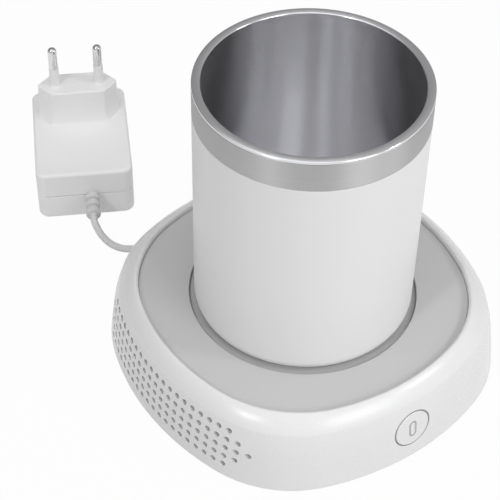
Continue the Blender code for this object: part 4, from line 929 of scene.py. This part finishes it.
# The rings of the cover, and where its outer and inner wall begin among them
def coverRings():
    lip, wall, low = case["lipSide"], case["wall"], case["low"]
    top, lipRound, footRound = case["lipTop"], case["lipRound"], case["footRound"]
    footSide, crease = case["profile"][0][1], case["profile"][-1][0]
    inside = lip - case["ledgeWidth"]
    outer = [(inside, case["ledgeTop"] - softEdge), (inside + softEdge, case["ledgeTop"])]
    outer += [(lip - fineEdge, case["ledgeTop"]), (lip, case["ledgeTop"] + softEdge)]
    outer += quarterArc(lip + lipRound, top - lipRound, lipRound, lipRound, -90, 0, 6)
    outer += [shoulderPoint(share) for share in (0.1, 0.2, 0.3, 0.4, 0.5, 0.6, 0.7, 0.8, 0.9, 0.955, 1.0)]
    outer.append((wallSide(crease - softEdge), crease - softEdge))
    foot = quarterArc(footSide - footRound, low + footRound, footRound, footRound, 90, 180, 4)
    inner = [(inside + fineEdge, case["ledgeTop"] - wall), (lip + wall, case["ledgeTop"] - wall)]
    inner += [shoulderPoint(share, case["shoulderWall"], wall) for share in (0.4, 0.6, 0.8, 0.95)]

    rings = [caseRing(side, height, 0.0, crease) for side, height in outer]
    outerStart = len(rings)
    rings += [caseRing(wallSide(height), height) for height in wallLevels]
    rings += [caseRing(side, height, 0.0, wallLevels[-1]) for side, height in foot[1:]]
    thin, thinTop = case["thinWall"], case["thinTop"]
    rings.append(caseRing(footSide - thin, low, thin, wallLevels[-1]))
    rings.append(caseRing(wallSide(thinTop) - thin, thinTop, thin, wallLevels[-1]))
    innerStart = len(rings)
    rings += [caseRing(wallSide(height) - wall, height, wall) for height in reversed(wallLevels[:-1])]
    rings += [caseRing(side, height, wall, crease) for side, height in reversed(inner)]
    return rings, outerStart, innerStart


# Every wall cell is numbered by its station, row and skin, since references don't outlast a subdivision
def cellNumber(isOuter, row, station):
    return 1 + station + 1000 * row + (10000 if isOuter else 0)


def numberCells(layer, skin, isOuter):
    for row, (one, two) in enumerate(zip(skin, skin[1:])):
        for station in range(len(one) - 1):
            common = set(one[station].link_faces) & set(one[station + 1].link_faces)
            face = (common & set(two[station].link_faces)).pop()
            face[layer] = cellNumber(isOuter, row, station)


def cellsOf(bm, layer, numbers):
    return [face for face in bm.faces if face[layer] in numbers]


def bevelEdges(bm, edges, offset, segments):
    shape = {"offset": offset, "segments": segments, "profile": 0.5}
    bmesh.ops.bevel(bm, geom=edges, affect="EDGES", material=-1, **shape)


# Places of the vents by the number of their cell, in rows that narrow towards both ends
def ventPlaces():
    places = {}
    for station in range(columns):
        y = (columns / 2 - 0.5 - station) * vents["columnPitch"]
        count = min(rows // 2, station, columns - 1 - station)
        for level in range(-count, count + 1):
            z = vents["middle"] + level * vents["rowPitch"]
            for isOuter in (True, False):
                number = cellNumber(isOuter, rows // 2 - level, len(openBearings) + station)
                places[number] = (y, z, isOuter)
    return places


# Vents: each in its own cell of the wall
def cutVents(bm, layer):
    placeOf = ventPlaces()
    cells = cellsOf(bm, layer, placeOf)
    places = [placeOf[cell[layer]] for cell in cells]
    bmesh.ops.inset_individual(bm, faces=cells, thickness=vents["frame"])
    rims = [list(cell.edges) for cell in cells]
    bmesh.ops.delete(bm, geom=cells, context="FACES_ONLY")
    bmesh.ops.subdivide_edges(bm, edges=[edge for rim in rims for edge in rim], cuts=3)
    rimPairs = {}
    for rim, (y, z, isOuter) in zip(rims, places):
        verts = fresh = set(rim[0].verts)
        while fresh:
            near = [edge for vert in fresh for edge in vert.link_edges if edge.is_boundary]
            fresh = {vert for edge in near for vert in edge.verts} - verts
            verts = verts | fresh
        ordered = sorted(verts, key=lambda vert: math.atan2(vert.co.z - z, vert.co.y - y))
        turns = [abs(math.atan2(vert.co.z - z, vert.co.y - y)) for vert in ordered]
        start = turns.index(min(turns))
        radius = vents["radius" if isOuter else "radiusBehind"]
        inset = 0.0 if isOuter else case["wall"]
        for i, vert in enumerate(ordered[start:] + ordered[:start]):
            turn = 2 * math.pi * i / len(ordered)
            newY, newZ = y + radius * math.cos(turn), z + radius * math.sin(turn)
            vert.co = (-wallReach(wallSide(newZ) - inset, inset, newY), newY, newZ)
        rimPairs.setdefault((y, z), []).append(loopEdges(bm, ordered))
    for outer, inner in rimPairs.values():
        bmesh.ops.bridge_loops(bm, edges=outer + inner)
    edges = [edge for outer, _ in rimPairs.values() for edge in outer if edge.is_valid]
    bevelEdges(bm, edges, vents["edge"], 2)


# The button's hole in the −Y wall or the socket's in the +Y wall
def cutOpening(bm, layer, opening):
    wall = case["wall"]
    low, high = opening["bearings"]
    stations = [i for i, turn in enumerate(openBearings[:-1]) if low <= turn < high]
    numbers = {cellNumber(o, row, i) for o in (True, False) for row in opening["rows"] for i in stations}
    bmesh.ops.delete(bm, geom=cellsOf(bm, layer, numbers), context="FACES")
    bmesh.ops.subdivide_edges(bm, edges=[edge for edge in bm.edges if edge.is_boundary], cuts=2)
    border = [edge for edge in bm.edges if edge.is_boundary]
    rims = []
    for inset in (0.0, wall):
        circle = {"segments": opening["steps"], "radius": opening["hole"]}
        made = bmesh.ops.create_circle(bm, cap_ends=False, **circle)["verts"]
        for vert in made:
            x, z = opening["x"] + vert.co.x, opening["z"] + vert.co.y
            vert.co = (x, opening["wall"] * wallReach(wallSide(z) - inset, inset, x), z)
        rims.append(loopEdges(bm, made))
        skin = []
        for edge in border:
            here = edge.verts[0].co
            depth = wallReach(wallSide(here.z), 0.0, here.x) - abs(here.y)
            if abs(depth - inset) < wall / 2:
                skin.append(edge)
        bmesh.ops.bridge_loops(bm, edges=skin + rims[-1])
    bmesh.ops.bridge_loops(bm, edges=rims[0] + rims[1])
    bevelEdges(bm, rims[0], softEdge, 3)


def makeCaseCover():
    rings, outerStart, innerStart = coverRings()
    bm = bmesh.new()
    loops = loftRings(bm, rings, closed=True)
    layer = bm.faces.layers.int.new("cell")
    numberCells(layer, loops[outerStart:outerStart + rows + 1], True)
    numberCells(layer, loops[innerStart:innerStart + rows + 1][::-1], False)
    cutVents(bm, layer)
    cutOpening(bm, layer, button)
    cutOpening(bm, layer, socket)
    finishPiece("caseCover", bm, caseWhite, "base", "case_white", ("top_cover",), sharpAngle=50.0)


makeCaseCover()
print("case cover made")


# Tray: flat, with a soft upturned edge, round the cup's well

tray = {
    "side": 0.06078,
    "low": 0.0285,
    "top": 0.0301,
    "rise": 0.0006,  # of its edge
    "slope": 0.0035,
    "well": 0.0440,
    "bearings": [2.25 * step for step in range(160)],  # degrees
}


def makeTray():
    side, top = tray["side"], tray["top"]
    edge = [outlinePoint(side, softEdge, bearing) for bearing in tray["bearings"]]
    rings = [raised(edge, tray["low"]), raised(edge, top + tray["rise"] - fineEdge)]
    for share in np.linspace(0, 1, 9):
        inset = fineEdge + (tray["slope"] - fineEdge) * share
        height = top + tray["rise"] * (1 - share) ** 2
        ring = [outlinePoint(side - inset, softEdge + inset, bearing) for bearing in tray["bearings"]]
        rings.append(raised(ring, height))
    for radius, height in (
        (tray["well"] + softEdge, top),
        (tray["well"] + sharpEdge, top - sharpEdge),
        (tray["well"], top - softEdge),
        (tray["well"], tray["low"]),
    ):
        ring = []
        for x, y in edge:
            reach = math.hypot(x, y)
            ring.append((radius * x / reach, radius * y / reach, height))
        rings.append(ring)
    bm = bmesh.new()
    loftRings(bm, rings, closed=True)
    finishPiece("topTray", bm, trayGrey, "base", "tray_grey", ("top_tray",), sharpAngle=50.0)


makeTray()


# Well: dark ring round the cup's foot and the plate that it stands on

well = {"inner": 0.0363, "outer": 0.0475, "step": 0.0437, "low": 0.0264, "rim": 0.0282, "top": 0.0287}
plate = {"radius": 0.0360, "top": 0.0287, "flange": 0.0392, "flangeTop": 0.0261, "low": 0.0250}

turned(
    "wellRing",
    [
        (well["inner"], well["low"], 0),
        (well["outer"], well["low"], 0),
        (well["outer"], well["rim"], softEdge),
        (well["step"], well["rim"], 0),
        (well["step"], well["top"], fineEdge),
        (well["inner"], well["top"], fineEdge),
    ],
    ringGrey, "base", "ring_grey", ("well_ring",),
)
turned(
    "warmingPlate",
    [
        (0, plate["top"], 0),
        (plate["radius"], plate["top"], softEdge),
        (plate["radius"], plate["flangeTop"], 0),
        (plate["flange"], plate["flangeTop"], fineEdge),
        (plate["flange"], plate["low"], fineEdge),
        (0, plate["low"], 0),
    ],
    plateAluminium, "base", "plate_aluminium", ("thermal_plate",),
)


# Cup: white sleeve, satin collar, steel liner with its flat lip, base disc

cup = {
    "radius": 0.0420,
    "bottom": 0.0290,
    "sleeveTop": 0.11940,
    "sleeveWall": 0.0014,
    "sleeveRound": 0.0045,
    "sleeveHollowRound": 0.0030,
    "footHole": 0.0376,
    "footThick": 0.0016,
    "collarLow": 0.11948,
    "collarTop": 0.13108,
    "lipLow": 0.13116,
    "top": 0.1322,
    "lipDome": 0.00025,
    "linerInner": 0.0388,
    "linerOuter": 0.0396,
    "linerRound": 0.0060,
    "lipInnerEdge": 0.0004,
    "lipOuterEdge": 0.00035,
    "floor": 0.0331,
    "rimEdge": 0.00025,
    "disc": 0.0373,
    "discTop": 0.0320,
    "discEdge": 0.0004,
}


def makeCup():
    radius, bottom, rimEdge = cup["radius"], cup["bottom"], cup["rimEdge"]
    inner, footTop = radius - cup["sleeveWall"], bottom + cup["footThick"]
    turned(
        "cupSleeve",
        [
            (cup["footHole"], bottom, softEdge),
            (radius, bottom, cup["sleeveRound"]),
            (radius, cup["sleeveTop"], rimEdge),
            (inner, cup["sleeveTop"], fineEdge),
            (inner, footTop, cup["sleeveHollowRound"]),
            (cup["footHole"], footTop, fineEdge),
        ],
        cupWhite, "mug", "cup_white", ("mug_sleeve",),
    )
    turned(
        "cupCollar",
        [
            (inner, cup["collarLow"], 0),
            (radius, cup["collarLow"], rimEdge),
            (radius, cup["collarTop"], rimEdge),
            (inner, cup["collarTop"], 0),
        ],
        satinSteel, "mug", "satin_steel", ("mug_collar",),
    )

    liner, outer, floor = cup["linerInner"], cup["linerOuter"], cup["floor"]
    wall, low = outer - liner, cup["top"] - cup["lipDome"]
    dome = []
    for step in range(1, 6):  # the lip's top is slightly domed
        across = step / 3 - 1
        height = cup["top"] - cup["lipDome"] * across**2
        dome.append((liner + (radius - liner) * (across + 1) / 2, height, 0))
    turned(
        "cupLiner",
        [
            (0, floor, 0),
            (liner, floor, cup["linerRound"]),
            (liner, low, cup["lipInnerEdge"]),
            *dome,
            (radius, low, cup["lipOuterEdge"]),
            (radius, cup["lipLow"], fineEdge),
            (outer, cup["lipLow"], 0),
            (outer, floor - wall, cup["linerRound"] + wall),
            (0, floor - wall, 0),
        ],
        linerSteel, "mug", "bright_steel", ("mug_liner",),
    )
    disc, top = cup["disc"], cup["discTop"]
    turned(
        "cupBaseDisc",
        [(0, bottom, 0), (disc, bottom, cup["discEdge"]), (disc, top, 0), (0, top, 0)],
        plateAluminium, "mug", "plate_aluminium", ("mug_base_disc",),
    )


makeCup()
print("cup made")


# Button: cap with its flange and stem, a grey ring round it whose dark grey is partly its own colour and
# partly painted shade of the gap, and the outlined mark let into it

def pill(inset):
    half = button["markWidth"] / 2 - inset
    straight = (button["markHeight"] - button["markWidth"]) / 2
    ring = []
    for centre, start in ((straight, 0), (-straight, 180)):
        for step in range(17):
            turn = math.radians(start + 180 * step / 16)
            ring.append((half * math.cos(turn), centre + half * math.sin(turn)))
    return ring


def makeButton():
    place = Matrix.Translation((button["x"], 0, button["z"])) @ quarterTurn
    face, radius, wide = wallSide(button["z"]), button["radius"], button["flange"]
    flange, stem, end = face - button["flangeBehind"], button["stem"], button["stemEnd"]
    behind = flange - button["flangeThick"]

    # Lays the piece along the button's axis, where its face leans and curves with the wall round it
    def finishButtonPiece(name, bm, material, slotName, replaced=()):
        bmesh.ops.transform(bm, matrix=place, verts=bm.verts)
        for vert in bm.verts:
            if -vert.co.y > end + sharpEdge:  # all but the end of the stem
                vert.co.y += face - wallReach(wallSide(vert.co.z), 0.0, vert.co.x)
        finishPiece(name, bm, material, "button", slotName, replaced)

    bm = bmesh.new()
    points = [(radius * share, face, 0) for share in (0, 0.25, 0.5, 0.75)]
    points += [(radius, face, button["edge"]), (radius, flange, 0), (wide, flange, 0), (wide, behind, 0)]
    points += [(stem, behind, 0), (stem, end, 0), (0, end, 0)]
    turnProfile(bm, points, button["steps"])
    finishButtonPiece("buttonCap", bm, caseWhite, "case_white", ("button_cap",))

    # The ring that fills the gap round the cap, in a dark grey that paints the gap's shade
    bm = bmesh.new()
    outer, front = radius + button["gapRingWidth"], face - button["gapRingBehind"]
    points = [(radius, front, 0), (outer, front, sharpEdge), (outer, flange, 0), (radius, flange, 0)]
    turnProfile(bm, points, button["steps"])
    finishButtonPiece("buttonGapShadeRing", bm, gapShadeGrey, "ring_grey")

    bm = bmesh.new()
    stroke, proud, deep = button["markStroke"], button["markProud"], face - button["markDeep"]
    rings = [raised(pill(0.0), deep), raised(pill(0.0), face), raised(pill(proud), face + proud)]
    rings += [raised(pill(stroke - proud), face + proud), raised(pill(stroke), face)]
    rings.append(raised(pill(stroke), deep))
    loftRings(bm, rings, closed=True)
    finishButtonPiece("buttonMark", bm, markClear, "clear_plastic", ("button_mark",))


makeButton()


# Feet: soft discs under the four corners

rubberFoot = {"radius": 0.0070, "height": 0.0020, "edge": 0.0006, "across": 0.044}


def makeFeet():
    radius, height, across = rubberFoot["radius"], rubberFoot["height"], rubberFoot["across"]
    points = [(0, 0, 0), (radius, 0, rubberFoot["edge"]), (radius, height, 0), (0, height, 0)]
    finish = (footRubber, "base", "foot_rubber")
    for number, (x, y) in enumerate(((-1, -1), (-1, 1), (1, -1), (1, 1)), 1):
        place = Matrix.Translation((x * across, y * across, 0))
        turned(f"rubberFoot{number}", points, *finish, (f"foot_{number}",), fineSteps, place)


makeFeet()
print("button and feet made")


# Model pieces that stay, each with its finish

screws = [f"{kind}_screw_{number}" for kind in ("case", "fan") for number in range(1, 5)]
finishedNodes = [
    (caseWhite, ["bottom_cover"]),
    (ceramicWhite, ["peltier_module"]),
    (foamBlack, ["insulation_frame", "power_inductor"]),
    (finAluminium, ["heat_sink", "filter_capacitor"]),
    (blackPlastic, ["fan_frame", "fan_rotor", "driver_chip", "plate_sensor", "tact_switch", "power_socket"]),
    (blackPlastic, ["adapter_capacitor"]),
    (brightSteel, ["fan_shaft", "fan_bearing", *screws]),
    (winding, ["fan_stator", "adapter_transformer"]),
    (board, ["control_board", "button_board", "adapter_board"]),
    (leadRed, ["module_lead_1"]),
    (leadBlack, ["module_lead_2", "button_lead"]),
    (ringGrey, ["switch_plunger"]),
    (lightClear, ["status_light"]),
    (sealRubber, ["mug_seal"]),
]
for finish, names in finishedNodes:
    for name in names:
        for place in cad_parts[name].material_slots:
            place.material = finish
print("model pieces finished")


# Stage: pale floor, white surroundings, soft lamps

stage = {
    "floorSize": 3.0,
    "floorColour": grey(0.60),
    "whiteShare": 0.97,  # how much of plain white the floor shows the camera
    "worldLevel": 0.41,
    "worldAcross": 0.27,  # how much brighter towards the next value's side
    "worldToward": (-0.10, -0.99, 0.0),
    "worldUp": 0.12,  # how much brighter upwards
    "glossShare": 0.03,  # how much of plain white the world shows to metal
    "lampAim": (0.0, 0.0, 0.05),
    "lamps": {  # place, side, power
        "front": ((0.15, -1.25, 0.85), 0.60, 5.0),
        "key": ((0.85, -0.95, 1.00), 0.20, 3.1),
        "edge": ((-1.15, -0.31, 1.22), 0.16, 4.1),
        "top": ((-0.20, 0.20, 1.60), 1.30, 4.4),
    },
}
plainWhite = (1.0, 1.0, 1.0, 1.0)


# Share of plain white that a ray gets: all of it for the camera and through glass, glossShare for metal
def whiteRays(tree, glossShare):
    rays = addNode(tree, "LightPath", {}).outputs
    seen = addMath(tree, "MULTIPLY", rays["Is Glossy Ray"], glossShare)
    for kind in ("Is Camera Ray", "Is Transmission Ray"):
        seen = addMath(tree, "MAXIMUM", rays[kind], seen)
    return seen


def makeFloor():
    bm = bmesh.new()
    bmesh.ops.create_grid(bm, x_segments=1, y_segments=1, size=stage["floorSize"])
    mesh = bpy.data.meshes.new("floor")
    bm.to_mesh(mesh)
    bm.free()
    floor = bpy.data.objects.new("floor", mesh)
    scene.collection.objects.link(floor)
    material, tree, shader = newFinish("floorPaper")
    paper = {"Base Color": (*stage["floorColour"], 1.0), "Roughness": 0.9, "Specular IOR Level": 0.1}
    setInputs(tree, shader, paper)
    glow = addNode(tree, "Emission", {"Color": plainWhite}).outputs["Emission"]
    share = addMath(tree, "MULTIPLY", whiteRays(tree, 1.0), stage["whiteShare"])
    whitened = addNode(tree, "MixShader", {"Fac": share, 1: shader.outputs["BSDF"], 2: glow})
    setInputs(tree, tree.nodes["Material Output"], {"Surface": whitened.outputs["Shader"]})
    mesh.materials.append(material)


# A soft studio all round: paler towards the front and upwards, plain white for the camera
def makeWorld():
    world = bpy.data.worlds.new("studio")
    scene.world = world
    world.use_nodes = True
    tree = world.node_tree
    direction = addNode(tree, "TexCoord", {}).outputs["Generated"]
    sides = {0: direction, 1: stage["worldToward"]}
    across = addNode(tree, "VectorMath", sides, operation="DOT_PRODUCT").outputs["Value"]
    upward = addNode(tree, "SeparateXYZ", {"Vector": direction}).outputs["Z"]
    level = addMath(tree, "MULTIPLY_ADD", across, stage["worldAcross"], stage["worldLevel"])
    level = addMath(tree, "MULTIPLY_ADD", upward, stage["worldUp"], level)
    shares = {"Factor": whiteRays(tree, stage["glossShare"]), "A": level, "B": plainWhite}
    mix = addNode(tree, "Mix", shares, data_type="RGBA")
    setInputs(tree, tree.nodes["Background"], {"Color": mix.outputs["Result"]})


def makeLamps():
    for name, (place, side, power) in stage["lamps"].items():
        data = bpy.data.lights.new(name, "AREA")
        data.shape = "SQUARE"
        data.size = side
        data.energy = power
        lamp = bpy.data.objects.new(name, data)
        lamp.location = place
        aim = Vector(stage["lampAim"]) - lamp.location
        lamp.rotation_euler = aim.to_track_quat("-Z", "Y").to_euler()
        scene.collection.objects.link(lamp)


makeFloor()
makeWorld()
makeLamps()
scene.view_settings.view_transform = "Standard"
print("stage set")
